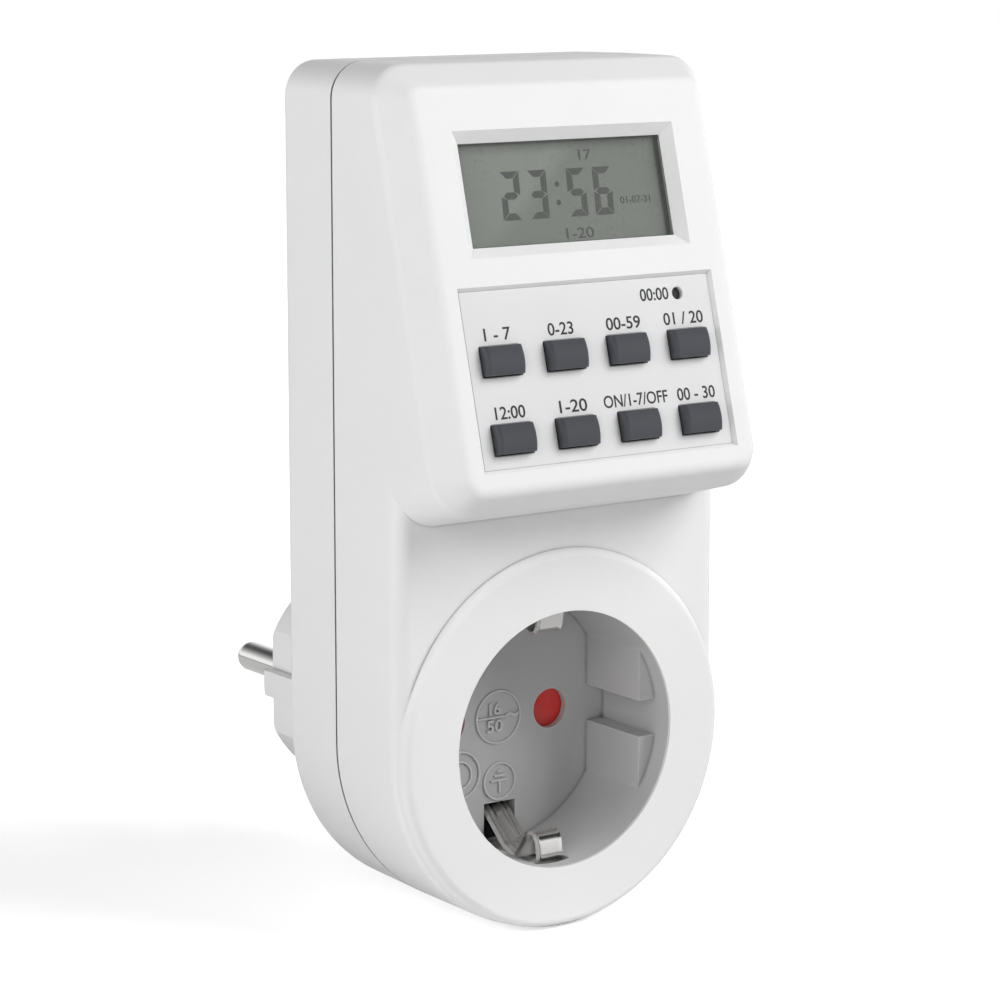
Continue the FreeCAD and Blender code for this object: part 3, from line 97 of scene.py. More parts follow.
class Workpiece:
    """One mesh on the bench. All its measures are millimetres in the part's own frame."""

    def __init__(self, obj: bpy.types.Object) -> None:
        """Take up an object."""
        self.obj = obj

    @classmethod
    def taken_up(cls, name: str) -> "Workpiece":
        """Name the primitive that was just added and settle its place in its mesh.

        Args:
            name: the piece's name.

        Returns:
            The piece.
        """
        obj = bpy.context.object
        obj.name = obj.data.name = name
        bpy.ops.object.transform_apply(location=True, rotation=True, scale=True)
        return cls(obj)

    @classmethod
    def block(cls, name: str, low: Triple, high: Triple) -> "Workpiece":
        """Add a block.

        Args:
            name: the piece's name.
            low: its lowest corner.
            high: its highest corner.

        Returns:
            The block, ready to be shaped.
        """
        deselect()
        middle = [(a + b) / 2 * MM for a, b in zip(low, high)]
        half = [(b - a) / 2 * MM for a, b in zip(low, high)]
        bpy.ops.mesh.primitive_cube_add(size=2, location=middle, scale=half)
        return cls.taken_up(name)

    @classmethod
    def rod(cls, name: str, middle: Triple, radius: float, length: float, sides: int) -> "Workpiece":
        """Add a round bar that stands upright.

        Args:
            name: the piece's name.
            middle: the middle of the bar.
            radius: its radius.
            length: its length.
            sides: how many flats stand for the round.

        Returns:
            The bar, ready to be shaped.
        """
        deselect()
        place = [c * MM for c in middle]
        bpy.ops.mesh.primitive_cylinder_add(
            vertices=sides, radius=radius * MM, depth=length * MM, location=place
        )
        return cls.taken_up(name)

    @classmethod
    def lettering(cls, text: str, width: float, height: float, thickness: float) -> "Workpiece":
        """Raised lettering in the X-Y plane, centred on the origin.

        Args:
            text: what it says.
            width: how wide the whole of it is.
            height: how tall it is.
            thickness: how far it stands along Z.

        Returns:
            The lettering as a mesh.
        """
        deselect()
        bpy.ops.object.text_add()
        line = bpy.context.object.data
        line.body = text
        line.extrude = TYPE_DEPTH
        line.offset = TYPE_WEIGHT
        line.resolution_u = TYPE_STEPS
        bpy.ops.object.convert(target="MESH")
        piece = cls.taken_up("lettering")
        corners = [vertex.co for vertex in piece.obj.data.vertices]
        low = Vector([min(corner[i] for corner in corners) for i in range(3)])
        high = Vector([max(corner[i] for corner in corners) for i in range(3)])
        sizes = zip((width, height, thickness), high - low)
        scale = Matrix.Diagonal([new * MM / old for new, old in sizes]).to_4x4()
        return piece.place(scale @ Matrix.Translation(-(low + high) / 2))

    @staticmethod
    def gather(name: str, pieces: Sequence["Workpiece"]) -> "Workpiece":
        """Join pieces into one without welding them.

        Args:
            name: the whole's name.
            pieces: the pieces, which are used up.

        Returns:
            The whole.
        """
        whole = pieces[0]
        whole.hold()
        for piece in pieces[1:]:
            piece.obj.select_set(True)
        bpy.ops.object.join()
        whole.obj.name = whole.obj.data.name = name
        return whole

    def hold(self) -> None:
        """Put everything else down and take up this piece alone."""
        deselect()
        bpy.context.view_layer.objects.active = self.obj
        self.obj.select_set(True)

    def pick(self, element: Element, test: PlaceTest, sharper: Optional[float] = None) -> int:
        """Open the mesh for editing with what passes the test selected.

        Args:
            element: edges or points.
            test: takes the middle of each and its normal, or for an edge its direction.
            sharper: for edges, only those that turn by more than this many degrees.

        Returns:
            How many are selected.
        """
        self.hold()
        kinds = (element is Element.VERT, element is Element.EDGE, False)
        bpy.context.tool_settings.mesh_select_mode = kinds
        mesh = self.obj.data
        sharp = None
        if sharper is not None:
            bpy.ops.object.mode_set(mode="EDIT")
            bpy.ops.mesh.select_all(action="DESELECT")
            bpy.ops.mesh.edges_select_sharp(sharpness=math.radians(sharper))
            bpy.ops.object.mode_set(mode="OBJECT")
            sharp = {edge.index for edge in mesh.edges if edge.select}
        for group in (mesh.vertices, mesh.edges, mesh.polygons):
            group.foreach_set("select", [False] * len(group))
        count = 0
        if element is Element.VERT:
            for vertex in mesh.vertices:
                vertex.select = test(vertex.co / MM, vertex.normal)
                count += vertex.select
        else:
            for edge in mesh.edges:
                if sharp is not None and edge.index not in sharp:
                    continue
                start, end = (mesh.vertices[i].co for i in edge.vertices)
                edge.select = test((start + end) / 2 / MM, (end - start).normalized())
                count += edge.select
        bpy.ops.object.mode_set(mode="EDIT")
        return count

    def bevel(self, test: PlaceTest, width: float, steps: int, sharper: float = 20.0) -> "Workpiece":
        """Round off the edges that pass the test.

        Args:
            test: takes the middle and the direction of each edge.
            width: how far the rounding reaches over each face.
            steps: how many strips it has.
            sharper: only edges that turn by more than this many degrees.

        Returns:
            The same piece.
        """
        if self.pick(Element.EDGE, test, sharper):
            bpy.ops.mesh.bevel(offset=width * MM, segments=steps, affect="EDGES", clamp_overlap=True)
        deselect()
        return self

    def slide(self, element: Element, test: PlaceTest, by: Triple, extrude: bool = False) -> "Workpiece":
        """Move what passes the test, or extrude it.

        Args:
            element: edges or points.
            test: takes the middle of each and its normal.
            by: how far.
            extrude: pull new sides along.

        Returns:
            The same piece.
        """
        self.pick(element, test)
        way = [c * MM for c in by]
        if extrude:
            bpy.ops.mesh.extrude_region_move(TRANSFORM_OT_translate={"value": way})
        else:
            bpy.ops.transform.translate(value=way)
        deselect()
        return self

    def finish_with(self, kind: str, **settings: Any) -> "Workpiece":
        """Add a modifier and apply it.

        Args:
            kind: the modifier's type.
            settings: its settings.

        Returns:
            The same piece.
        """
        self.hold()
        bpy.ops.object.modifier_add(type=kind)
        modifier = self.obj.modifiers[-1]
        for key, value in settings.items():
            setattr(modifier, key, value)
        bpy.ops.object.modifier_apply(modifier=modifier.name)
        return self

    def cut(self, tool: "Workpiece") -> "Workpiece":
        """Cut another piece's shape out of this one. The other is used up.

        Args:
            tool: the piece that cuts.

        Returns:
            The same piece.
        """
        self.finish_with("BOOLEAN", operation="DIFFERENCE", object=tool.obj)
        bpy.data.objects.remove(tool.obj)
        return self

    def copy(self, name: str) -> "Workpiece":
        """A copy with its own mesh.

        Args:
            name: the copy's name.

        Returns:
            The copy.
        """
        twin = self.obj.copy()
        twin.data = self.obj.data.copy()
        twin.name = twin.data.name = name
        bpy.context.scene.collection.objects.link(twin)
        return Workpiece(twin)

    def place(self, matrix: Matrix) -> "Workpiece":
        """Settle the piece at a place, kept in its mesh.

        Args:
            matrix: the place, in metres.

        Returns:
            The same piece.
        """
        self.obj.data.transform(matrix)
        self.obj.data.update()
        return self

    def shift(self, x: float = 0.0, y: float = 0.0, z: float = 0.0) -> "Workpiece":
        """Move the whole piece."""
        return self.place(Matrix.Translation(Vector((x, y, z)) * MM))

    def tidy(self) -> "Workpiece":
        """Merge doubled points, drop flat slivers and turn the faces outwards.

        Returns:
            The same piece.
        """
        self.hold()
        bpy.ops.object.mode_set(mode="EDIT")
        bpy.ops.mesh.select_all(action="SELECT")
        bpy.ops.mesh.remove_doubles(threshold=DOUBLED * MM)
        bpy.ops.mesh.dissolve_degenerate(threshold=DOUBLED * MM)
        bpy.ops.mesh.select_all(action="SELECT")
        bpy.ops.mesh.normals_make_consistent(inside=False)
        deselect()
        return self

    def smooth(self, angle: float = 32.0, weight: int = 80) -> "Workpiece":
        """Shade the roundings smooth and weight the normals by face size.

        Args:
            angle: edges that turn by more degrees than this stay sharp.
            weight: how much the larger faces count.

        Returns:
            The same piece.
        """
        self.hold()
        bpy.ops.object.shade_smooth_by_angle(angle=math.radians(angle))
        return self.finish_with("WEIGHTED_NORMAL", keep_sharp=True, weight=weight)

    def hand_over(self, body: str, material: bpy.types.Material, slot: str, *nodes: str) -> None:
        """Dress the piece and fix it to its body in the frame.

        Args:
            body: the body it rides on.
            material: its finish.
            slot: not used.
            nodes: the solids it stands for.
        """
        self.obj.data.materials.append(material)
        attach(self.obj, body)
        if nodes:
            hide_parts(*nodes)
        log.info("%s: %d faces", self.obj.name, len(self.obj.data.polygons))


# Finishes


def colour(rgb: Triple, share: float = 1.0) -> tuple[float, float, float, float]:
    """A colour with full alpha, or a darker or lighter share of it."""
    return (*(min(1.0, c * share) for c in rgb), 1.0)


DUST_TINT = colour((0.55, 0.54, 0.52))
TINNED = colour((0.62, 0.62, 0.60))


class Graph:
    """Adds nodes to a tree and joins them."""

    def __init__(self, tree: Tree) -> None:
        """Work on one tree."""
        self.tree = tree

    @classmethod
    def fresh(cls, owner: Any) -> "Graph":
        """Open the node tree of a material or a world, emptied.

        Args:
            owner: the material or world.

        Returns:
            Its graph.
        """
        owner.use_nodes = True
        owner.node_tree.nodes.clear()
        return cls(owner.node_tree)

    def feed(self, node: bpy.types.Node, inputs: Inputs) -> None:
        """Set a node's inputs.

        Args:
            node: the node.
            inputs: a value or another node's socket for each input.
        """
        for key, value in inputs.items():
            if isinstance(value, Socket):
                self.tree.links.new(value, node.inputs[key])
            else:
                node.inputs[key].default_value = value

    def add(self, kind: str, inputs: Optional[Inputs] = None, **options: Any) -> bpy.types.Node:
        """Add a node.

        Args:
            kind: the node's type, without the ShaderNode in front.
            inputs: a value or another node's socket for each input.
            options: the node's own settings.

        Returns:
            The node.
        """
        node = self.tree.nodes.new("ShaderNode" + kind)
        for key, value in options.items():
            setattr(node, key, value)
        self.feed(node, inputs or {})
        return node

    def effect(self, tree: Tree, **inputs: Any) -> Mapping[str, Socket]:
        """Place a shared effect and give what it puts out."""
        return self.add("Group", inputs, node_tree=tree).outputs

    def maths(self, operation: str, *values: Any, clamp: bool = False) -> Socket:
        """The result of one operation on sockets or numbers."""
        return self.add("Math", dict(enumerate(values)), operation=operation, use_clamp=clamp).outputs[0]

    def times(self, *values: Any) -> Socket:
        """Two sockets or numbers multiplied."""
        return self.maths("MULTIPLY", *values)

    def dot(self, vector: Any, way: Any) -> Socket:
        """How far a vector reaches along a direction."""
        return self.add("VectorMath", {0: vector, 1: way}, operation="DOT_PRODUCT").outputs["Value"]

    def part(self, vector: Socket, axis: int) -> Socket:
        """One of a vector's three parts."""
        return self.add("SeparateXYZ", {0: vector}).outputs[axis]

    def mix(self, share: Any, first: Any, second: Any) -> Socket:
        """A colour between two."""
        return self.add("Mix", {0: share, 6: first, 7: second}, data_type="RGBA").outputs[2]

    def between(
        self, value: Any, low: float, high: float, to_low: float = 0.0, to_high: float = 1.0
    ) -> Socket:
        """Map a value from one range to another, clamped."""
        inputs = {"Value": value, "From Min": low, "From Max": high, "To Min": to_low, "To Max": to_high}
        return self.add("MapRange", inputs, clamp=True).outputs[0]

    def noise(self, vector: Socket, scale: Any, detail: float = 3.0, roughness: float = 0.5) -> Socket:
        """A noise value, its scale in waves per metre."""
        inputs = {"Vector": vector, "Scale": scale, "Detail": detail, "Roughness": roughness}
        return self.add("TexNoise", inputs).outputs[0]

    def bump(self, height: Socket, distance: Any, strength: float = 1.0, sunk: bool = False) -> Socket:
        """A normal for a surface that a height raises or sinks."""
        inputs = {"Strength": strength, "Distance": distance, "Height": height}
        return self.add("Bump", inputs, invert=sunk).outputs[0]


class SharedEffects:
    """Node groups that several finishes use, each built once."""

    def __init__(self) -> None:
        """Build every group."""
        self.grain = self._grain()
        self.worn_and_highlit_edges = self._worn_and_highlit_edges()
        self.crevices = self._crevices()
        self.dust = self._dust()
        self.streaks = self._streaks()

    @staticmethod
    def _open(name: str, **inputs: Any) -> tuple[Graph, Mapping[str, Socket]]:
        """Start a group with named inputs.

        Args:
            name: the group's name.
            inputs: each input's usual value, or None for a vector that is always led in.

        Returns:
            The group's graph and what comes in.
        """
        tree = bpy.data.node_groups.new(name, "ShaderNodeTree")
        for key, value in inputs.items():
            kind = "NodeSocketFloat" if isinstance(value, float) else "NodeSocketVector"
            socket = tree.interface.new_socket(key, in_out="INPUT", socket_type=kind)
            if value is not None:
                socket.default_value = value
        return Graph(tree), tree.nodes.new("NodeGroupInput").outputs

    @staticmethod
    def _close(graph: Graph, **results: Socket) -> Tree:
        """Lead the results out of a group.

        Args:
            graph: the group's graph.
            results: what it puts out. Normal is a vector and the others are numbers.

        Returns:
            The group.
        """
        tree = graph.tree
        for key in results:
            kind = "NodeSocketVector" if key == "Normal" else "NodeSocketFloat"
            tree.interface.new_socket(key, in_out="OUTPUT", socket_type=kind)
        graph.feed(tree.nodes.new("NodeGroupOutput"), results)
        return tree

    def _grain(self) -> Tree:
        """The fine spark-eroded grain of a mould and the faint flow of colour under it.

        Returns:
            The group.
        """
        graph, given = self._open("mould_grain", Vector=None, Size=2600.0, Depth=0.006 * MM)
        fine = graph.noise(given["Vector"], given["Size"], 2.0, 0.6)
        flow = graph.noise(given["Vector"], 45.0, 2.0)
        ripple = graph.noise(given["Vector"], 160.0, 1.0)
        height = graph.maths("ADD", fine, graph.times(ripple, 0.7))
        return self._close(graph, Normal=graph.bump(height, given["Depth"]), Grain=fine, Flow=flow)

    def _worn_and_highlit_edges(self) -> Tree:
        """A mask of edges, for the wear that hands and shelves rub there and for a painted highlight along
        them.

        Returns:
            The group.
        """
        graph, given = self._open("worn_and_highlit_edges", Vector=None, Reach=0.4 * MM)
        rounded = graph.add("Bevel", {"Radius": given["Reach"]}, samples=4).outputs[0]
        plain = graph.add("NewGeometry").outputs["Normal"]
        edge = graph.between(graph.dot(rounded, plain), 0.995, 0.86)
        patchy = graph.between(graph.noise(given["Vector"], 320.0), 0.35, 0.65, 0.35, 1.0)
        return self._close(graph, Mask=graph.times(edge, patchy))

    def _crevices(self) -> Tree:
        """A mask of narrow gaps and grooves, from ambient occlusion, for painted shade there.

        Returns:
            The group.
        """
        graph, given = self._open("crevices", Reach=0.9 * MM)
        openness = graph.add("AmbientOcclusion", {"Distance": given["Reach"]}, samples=6).outputs["AO"]
        return self._close(graph, Mask=graph.between(openness, 0.72, 0.3))

    def _dust(self) -> Tree:
        """A mask of the thin dust that settles on faces that look up.

        Returns:
            The group.
        """
        graph, given = self._open("settled_dust", Vector=None, Amount=0.2)
        lying = graph.between(graph.part(graph.add("NewGeometry").outputs["Normal"], 2), 0.3, 1.0)
        specks = graph.between(graph.noise(given["Vector"], 900.0, 4.0), 0.45, 0.75)
        return self._close(graph, Mask=graph.times(graph.times(lying, specks), given["Amount"]))

    def _streaks(self) -> Tree:
        """Fine lengthwise marks left by rolling or polishing.

        Returns:
            The group.
        """
        stretch = (1.0, 0.04, 1.0)
        graph, given = self._open(
            "metal_streaks", Vector=None, Stretch=stretch, Size=1800.0, Depth=0.004 * MM
        )
        drawn = graph.add("VectorMath", {0: given["Vector"], 1: given["Stretch"]}, operation="MULTIPLY")
        line = graph.noise(drawn.outputs[0], given["Size"])
        tarnish = graph.between(graph.noise(given["Vector"], 220.0, 4.0), 0.4, 0.8)
        return self._close(graph, Normal=graph.bump(line, given["Depth"]), Streak=line, Tarnish=tarnish)


@dataclass(frozen=True)
class Finish:
    """What every finish has: a name, a colour, a roughness and the middle of its pattern."""

    name: str
    tint: Triple
    roughness: float
    centre: Triple = (0.0, -35.0, 40.0)

    def build(self, effects: SharedEffects) -> bpy.types.Material:
        """Make the material.

        Args:
            effects: the shared node groups.

        Returns:
            The material.
        """
        material = bpy.data.materials.new(self.name)
        graph = Graph.fresh(material)
        shader = graph.add("BsdfPrincipled", {"Base Color": colour(self.tint), "Roughness": self.roughness})
        graph.add("OutputMaterial", {"Surface": self.surface(graph, shader.outputs[0])})
        place = graph.add("TexCoord").outputs["Object"]
        shift = tuple(-c * MM for c in self.centre)
        vector = graph.add("Mapping", {"Vector": place, "Location": shift}).outputs[0]
        graph.feed(shader, self.looks(graph, vector, effects))
        return material

    def surface(self, graph: Graph, shader: Socket) -> Socket:
        """What reaches the material's output, which is mostly its shader."""
        return shader

    def looks(self, graph: Graph, vector: Socket, effects: SharedEffects) -> Inputs:
        """What goes into the shader. Every kind of finish has its own.

        Args:
            graph: the material's graph.
            vector: a place on the piece, from the pattern's middle.
            effects: the shared node groups.

        Returns:
            A value or a socket for each of the shader's inputs.
        """
        raise NotImplementedError

    def uneven(self, graph: Graph, pattern: Socket, low: float, high: float, by: float) -> Socket:
        """The finish's roughness, straying both ways with a pattern that runs from low to high."""
        return graph.between(pattern, low, high, self.roughness - by, self.roughness + by)


@dataclass(frozen=True)
class Moulding(Finish):
    """Satin moulded plastic with a grain, a faint flow of colour, dust, edges lightened partly by wear and
    partly as a painted highlight, and painted shade in narrow gaps.
    """

    grain_size: float = 2600.0
    grain_depth: float = 0.006
    flow: float = 0.02
    # Edges are lightened towards white, partly as wear and partly as a painted highlight.
    edge_wear_and_highlight: float = 0.25
    edge_wear_and_highlight_reach: float = 0.35
    wear_polish: float = 0.2
    rubbed_and_highlit_white: float = 0.22
    dust: float = 0.0
    coat: float = 0.0
    # Painted shade: narrow gaps, grooves and seams darkened from an ambient-occlusion mask.
    painted_gap_shade: float = 0.0
    painted_gap_shade_reach: float = 1.1
    painted_gap_shade_share: float = 0.12

    def looks(self, graph: Graph, vector: Socket, effects: SharedEffects) -> Inputs:
        """See Finish."""
        depth = self.grain_depth * MM
        grain = graph.effect(effects.grain, Vector=vector, Size=self.grain_size, Depth=depth)
        darker, lighter = colour(self.tint, 1 - self.flow), colour(self.tint, 1 + self.flow / 2)
        body = graph.mix(graph.between(grain["Flow"], 0.3, 0.7), darker, lighter)
        # Edges lightened towards white: partly wear, partly a painted highlight.
        worn_and_highlit = graph.effect(effects.worn_and_highlit_edges, Vector=vector, Reach=self.edge_wear_and_highlight_reach * MM)["Mask"]
        rubbed_and_highlit = graph.times(worn_and_highlit, self.edge_wear_and_highlight)
        pale = tuple(c + (1 - c) * self.rubbed_and_highlit_white for c in self.tint)
        body = graph.mix(rubbed_and_highlit, body, colour(pale))
        # Painted shade in narrow gaps, grooves and seams.
        if self.painted_gap_shade:
            gaps = graph.effect(effects.crevices, Reach=self.painted_gap_shade_reach * MM)["Mask"]
            body = graph.mix(graph.times(gaps, self.painted_gap_shade), body, colour(self.tint, self.painted_gap_shade_share))
        if self.dust:
            dust = graph.effect(effects.dust, Vector=vector, Amount=self.dust)["Mask"]
            body = graph.mix(dust, body, DUST_TINT)
        rough = self.uneven(graph, grain["Grain"], 0.2, 0.8, 0.05)
        rough = graph.maths("SUBTRACT", rough, graph.times(rubbed_and_highlit, self.wear_polish), clamp=True)
        return {"Base Color": body, "Roughness": rough, "Normal": grain["Normal"], "Coat Weight": self.coat}


@dataclass(frozen=True)
class Metal(Finish):
    """Plated, drawn or pressed metal: fine streaks, and patches dulled by the air."""

    stretch: Triple = (1.0, 0.05, 1.0)
    streak_size: float = 1800.0
    streak_depth: float = 0.003
    dulled: float = 0.25
    dull_shade: float = 0.72
    dull_roughness: float = 0.25

    def looks(self, graph: Graph, vector: Socket, effects: SharedEffects) -> Inputs:
        """See Finish."""
        size, depth = self.streak_size, self.streak_depth * MM
        streaks = graph.effect(effects.streaks, Vector=vector, Stretch=self.stretch, Size=size, Depth=depth)
        dull = graph.times(streaks["Tarnish"], self.dulled)
        body = graph.mix(dull, colour(self.tint), colour(self.tint, self.dull_shade))
        smoother, rougher = self.roughness * 0.75, self.roughness * 1.3
        rough = graph.between(streaks["Streak"], 0.2, 0.8, smoother, rougher)
        rough = graph.maths("ADD", rough, graph.times(dull, self.dull_roughness), clamp=True)
        return {"Base Color": body, "Roughness": rough, "Normal": streaks["Normal"], "Metallic": 1.0}


@dataclass(frozen=True)
class ClearWindow(Finish):
    """Clear polished plastic, with the faintest ripple of a moulding and fine handling marks."""

    ior: float = 1.49
    ripple_depth: float = 0.004
    marks: float = 0.02

    def surface(self, graph: Graph, shader: Socket) -> Socket:
        """The glass, with the lamps' light let through to what lies behind.

        Args:
            graph: the material's graph.
            shader: the glass.

        Returns:
            The two mixed.
        """
        through = graph.add("BsdfTransparent", {"Color": colour(self.tint)}).outputs[0]
        lit = graph.add("LightPath").outputs["Is Shadow Ray"]
        return graph.add("MixShader", {0: lit, 1: shader, 2: through}).outputs[0]

    def looks(self, graph: Graph, vector: Socket, effects: SharedEffects) -> Inputs:
        """See Finish."""
        ripple = graph.bump(graph.noise(vector, 60.0, 1.0), self.ripple_depth * MM, 0.1)
        scratched = self.roughness + self.marks
        rough = graph.between(graph.noise(vector, 700.0, 5.0), 0.66, 0.8, self.roughness, scratched)
        return {"Roughness": rough, "Normal": ripple, "Transmission Weight": 1.0, "IOR": self.ior}


@dataclass(frozen=True)
class Polariser(Finish):
    """The grey-green film of a display, with painted shade below a slanting edge and at its low corner."""

    centre: Triple = (0.0, -59.0, 82.0)
    slant: Triple = (0.65, 0.0, -0.76)
    edge: float = -1.5
    edge_width: float = 2.5
    shade: float = 0.24
    corner_way: Triple = (-0.8, 0.0, -0.6)
    corner_reach: tuple[float, float] = (8.0, 18.0)
    corner_share: float = 0.35
    corner_shade: float = 0.7

    def looks(self, graph: Graph, vector: Socket, effects: SharedEffects) -> Inputs:
        """See Finish."""
        # Painted shade: the film darkens below a slanting edge and towards its low corner.
        along = graph.dot(vector, self.slant)
        below = graph.between(along, (self.edge - self.edge_width) * MM, self.edge * MM)
        near, far = (reach * MM for reach in self.corner_reach)
        corner = graph.between(graph.dot(vector, self.corner_way), near, far, 0.0, self.corner_share)
        body = graph.mix(below, colour(self.tint), colour(self.tint, 1 - self.shade))
        body = graph.mix(corner, body, colour(self.tint, self.corner_shade))
        rough = self.uneven(graph, graph.noise(vector, 2500.0, 2.0), 0.3, 0.7, 0.04)
        return {"Base Color": body, "Roughness": rough}


@dataclass(frozen=True)
class Board(Finish):
    """Green resist over raised copper tracks, with rows of tinned pads."""

    pitch: float = 2.54
    raised: float = 0.03
    track_shade: float = 0.7
    pad_roughness: float = 0.25

    def looks(self, graph: Graph, vector: Socket, effects: SharedEffects) -> Inputs:
        """See Finish."""
        scaled = {0: vector, 3: 1.0 / (self.pitch * MM)}
        cells = graph.add("VectorMath", scaled, operation="SCALE").outputs[0]
        x, z = graph.part(cells, 0), graph.part(cells, 2)
        wander = graph.times(graph.noise(vector, 60.0, 0.0), 3.0)
        line = graph.maths("FRACT", graph.maths("ADD", x, wander))
        track = graph.between(graph.maths("ABSOLUTE", graph.maths("SUBTRACT", line, 0.5)), 0.22, 0.26)
        offsets = [graph.maths("SUBTRACT", graph.maths("FRACT", side), 0.5) for side in (x, z)]
        squares = [graph.maths("POWER", offset, 2.0) for offset in offsets]
        far = graph.maths("SQRT", graph.maths("ADD", *squares))
        rare = graph.between(graph.noise(cells, 0.21, 0.0), 0.56, 0.58)
        pad = graph.times(graph.between(far, 0.3, 0.26), rare)
        body = graph.mix(track, colour(self.tint), colour(self.tint, self.track_shade))
        return {
            "Base Color": graph.mix(pad, body, TINNED),
            "Metallic": pad,
            "Roughness": graph.between(pad, 0.0, 1.0, self.roughness, self.pad_roughness),
            "Normal": graph.bump(track, self.raised * MM, 0.6, sunk=True),
        }


@dataclass(frozen=True)
class Ribbed(Finish):
    """A finish with parallel stripes, such as a ribbon cable or a printed sleeve."""

    second: Triple = (0.3, 0.3, 0.3)
    way: Triple = (1.0, 0.0, 0.0)
    pitch: float = 1.27
    share: float = 0.12
    raised: float = 0.08

    def looks(self, graph: Graph, vector: Socket, effects: SharedEffects) -> Inputs:
        """See Finish."""
        saw = graph.maths("FRACT", graph.maths("DIVIDE", graph.dot(vector, self.way), self.pitch * MM))
        off = graph.maths("ABSOLUTE", graph.maths("SUBTRACT", saw, 0.5))
        groove = graph.between(off, 0.5 - self.share, 0.5)
        speck = graph.between(graph.noise(vector, 900.0), 0.3, 0.7, 0.0, 0.08)
        share = graph.maths("ADD", groove, speck)
        return {
            "Base Color": graph.mix(share, colour(self.tint), colour(self.second)),
            "Roughness": self.uneven(graph, graph.noise(vector, 500.0), 0.3, 0.7, 0.06),
            "Normal": graph.bump(groove, self.raised * MM, 0.8, sunk=True),
        }


FINISHES: tuple[Finish, ...] = (
    # white_plastic and grey_plastic get painted shade in their narrow gaps.
    Moulding("white_plastic", (0.86, 0.86, 0.86), 0.42, edge_wear_and_highlight=0.1, flow=0.012, painted_gap_shade=1.0),
    # grey_plastic lightens its edges strongly, mostly as a painted highlight.
    Moulding("grey_plastic", (0.57, 0.57, 0.57), 0.45, edge_wear_and_highlight=0.9, flow=0.03, rubbed_and_highlit_white=0.6, painted_gap_shade=0.8),
    Moulding("red_plastic", (0.92, 0.05, 0.045), 0.15, flow=0.05, coat=0.5),
    Moulding("dark_plastic", (0.035, 0.035, 0.038), 0.4, flow=0.08, dust=0.1),
    Moulding("inner_plastic", (0.72, 0.72, 0.70), 0.45, dust=0.15),
    Moulding("key_grey", (0.06, 0.063, 0.073), 0.42, flow=0.05, edge_wear_and_highlight=0.2),
    Moulding("switch_plastic", (0.03, 0.03, 0.032), 0.5, flow=0.1, dust=0.15),
    Moulding("dark_rubber", (0.03, 0.03, 0.03), 0.7, grain_size=1400.0, flow=0.1, dust=0.1),
    Moulding("chip_black", (0.025, 0.025, 0.025), 0.6, grain_size=1800.0, flow=0.1, dust=0.2),
    Moulding("capacitor_yellow", (0.72, 0.5, 0.08), 0.25, flow=0.06, coat=0.4, dust=0.2),
    Moulding(
        "varistor_blue", (0.05, 0.14, 0.4), 0.3, grain_size=900.0, grain_depth=0.02, coat=0.5, dust=0.2
    ),
    Moulding("brown_wire", (0.14, 0.06, 0.03), 0.35, flow=0.08, dust=0.1),
    Moulding("blue_wire", (0.03, 0.12, 0.42), 0.35, flow=0.08, dust=0.1),
    Polariser("display_glass", (0.195, 0.21, 0.188), 0.3),
    Moulding("liquid_crystal", (0.04, 0.044, 0.04), 0.5, edge_wear_and_highlight=0.0),
    Moulding("panel_foil", (0.76, 0.76, 0.762), 0.45, flow=0.012, edge_wear_and_highlight=0.05),
    Moulding("panel_ink", (0.04, 0.04, 0.042), 0.5, flow=0.05, edge_wear_and_highlight=0.0),
    # raised_grey lightens its edges strongly, mostly as a painted highlight.
    Moulding("raised_grey", (0.64, 0.64, 0.64), 0.4, edge_wear_and_highlight=0.9, flow=0.03, rubbed_and_highlit_white=0.6),
    Ribbed("cable_grey", (0.38, 0.38, 0.40), 0.45, second=(0.2, 0.2, 0.21)),
    Ribbed(
        "capacitor_sleeve",
        (0.03, 0.05, 0.16),
        0.3,
        second=(0.55, 0.55, 0.5),
        pitch=11.0,
        share=0.1,
        raised=0.0,
    ),
    Metal("nickelled_strip", (0.76, 0.755, 0.74), 0.12, dulled=0.1, stretch=(1.0, 0.05, 0.05)),
    Metal("nickelled_pin", (0.84, 0.84, 0.83), 0.07, streak_depth=0.0015, dulled=0.1),
    Metal("brass", (0.76, 0.56, 0.26), 0.28, dulled=0.4),
    Metal("steel_screw", (0.52, 0.52, 0.54), 0.3, stretch=(0.3, 1.0, 1.0), dulled=0.4),
    Metal("steel_can", (0.60, 0.60, 0.60), 0.25, dulled=0.2),
    Metal("spring_steel", (0.48, 0.48, 0.48), 0.25, stretch=(1.0, 1.0, 0.2), dulled=0.3),
    Metal("fuse_glass", (0.66, 0.66, 0.64), 0.18, dulled=0.15),
    ClearWindow("clear_window", (0.97, 0.98, 0.97), 0.0),
    Board("board", (0.03, 0.13, 0.05), 0.3),
)


class PaintShop:
    """Builds each finish once and dresses the solids that stay."""

    def __init__(self) -> None:
        """Build the shared effects and every finish."""
        effects = SharedEffects()
        self.materials = {finish.name: finish.build(effects) for finish in FINISHES}

    def __getitem__(self, slot: str) -> bpy.types.Material:
        """The material of a slot."""
        return self.materials[slot]

    def dress_solids(self) -> None:
        """Give every solid the finish of its slot in the record."""
        for part in frame["record"]["subparts"]:
            node = frame["nodes"][part["node"]]
            material = self.materials[part["material_slot"]]
            if not node.material_slots:
                node.data.materials.append(material)
            for place in node.material_slots:
                place.material = material
        log.info("solids dressed: %d", len(frame["nodes"]))


# The tilted face


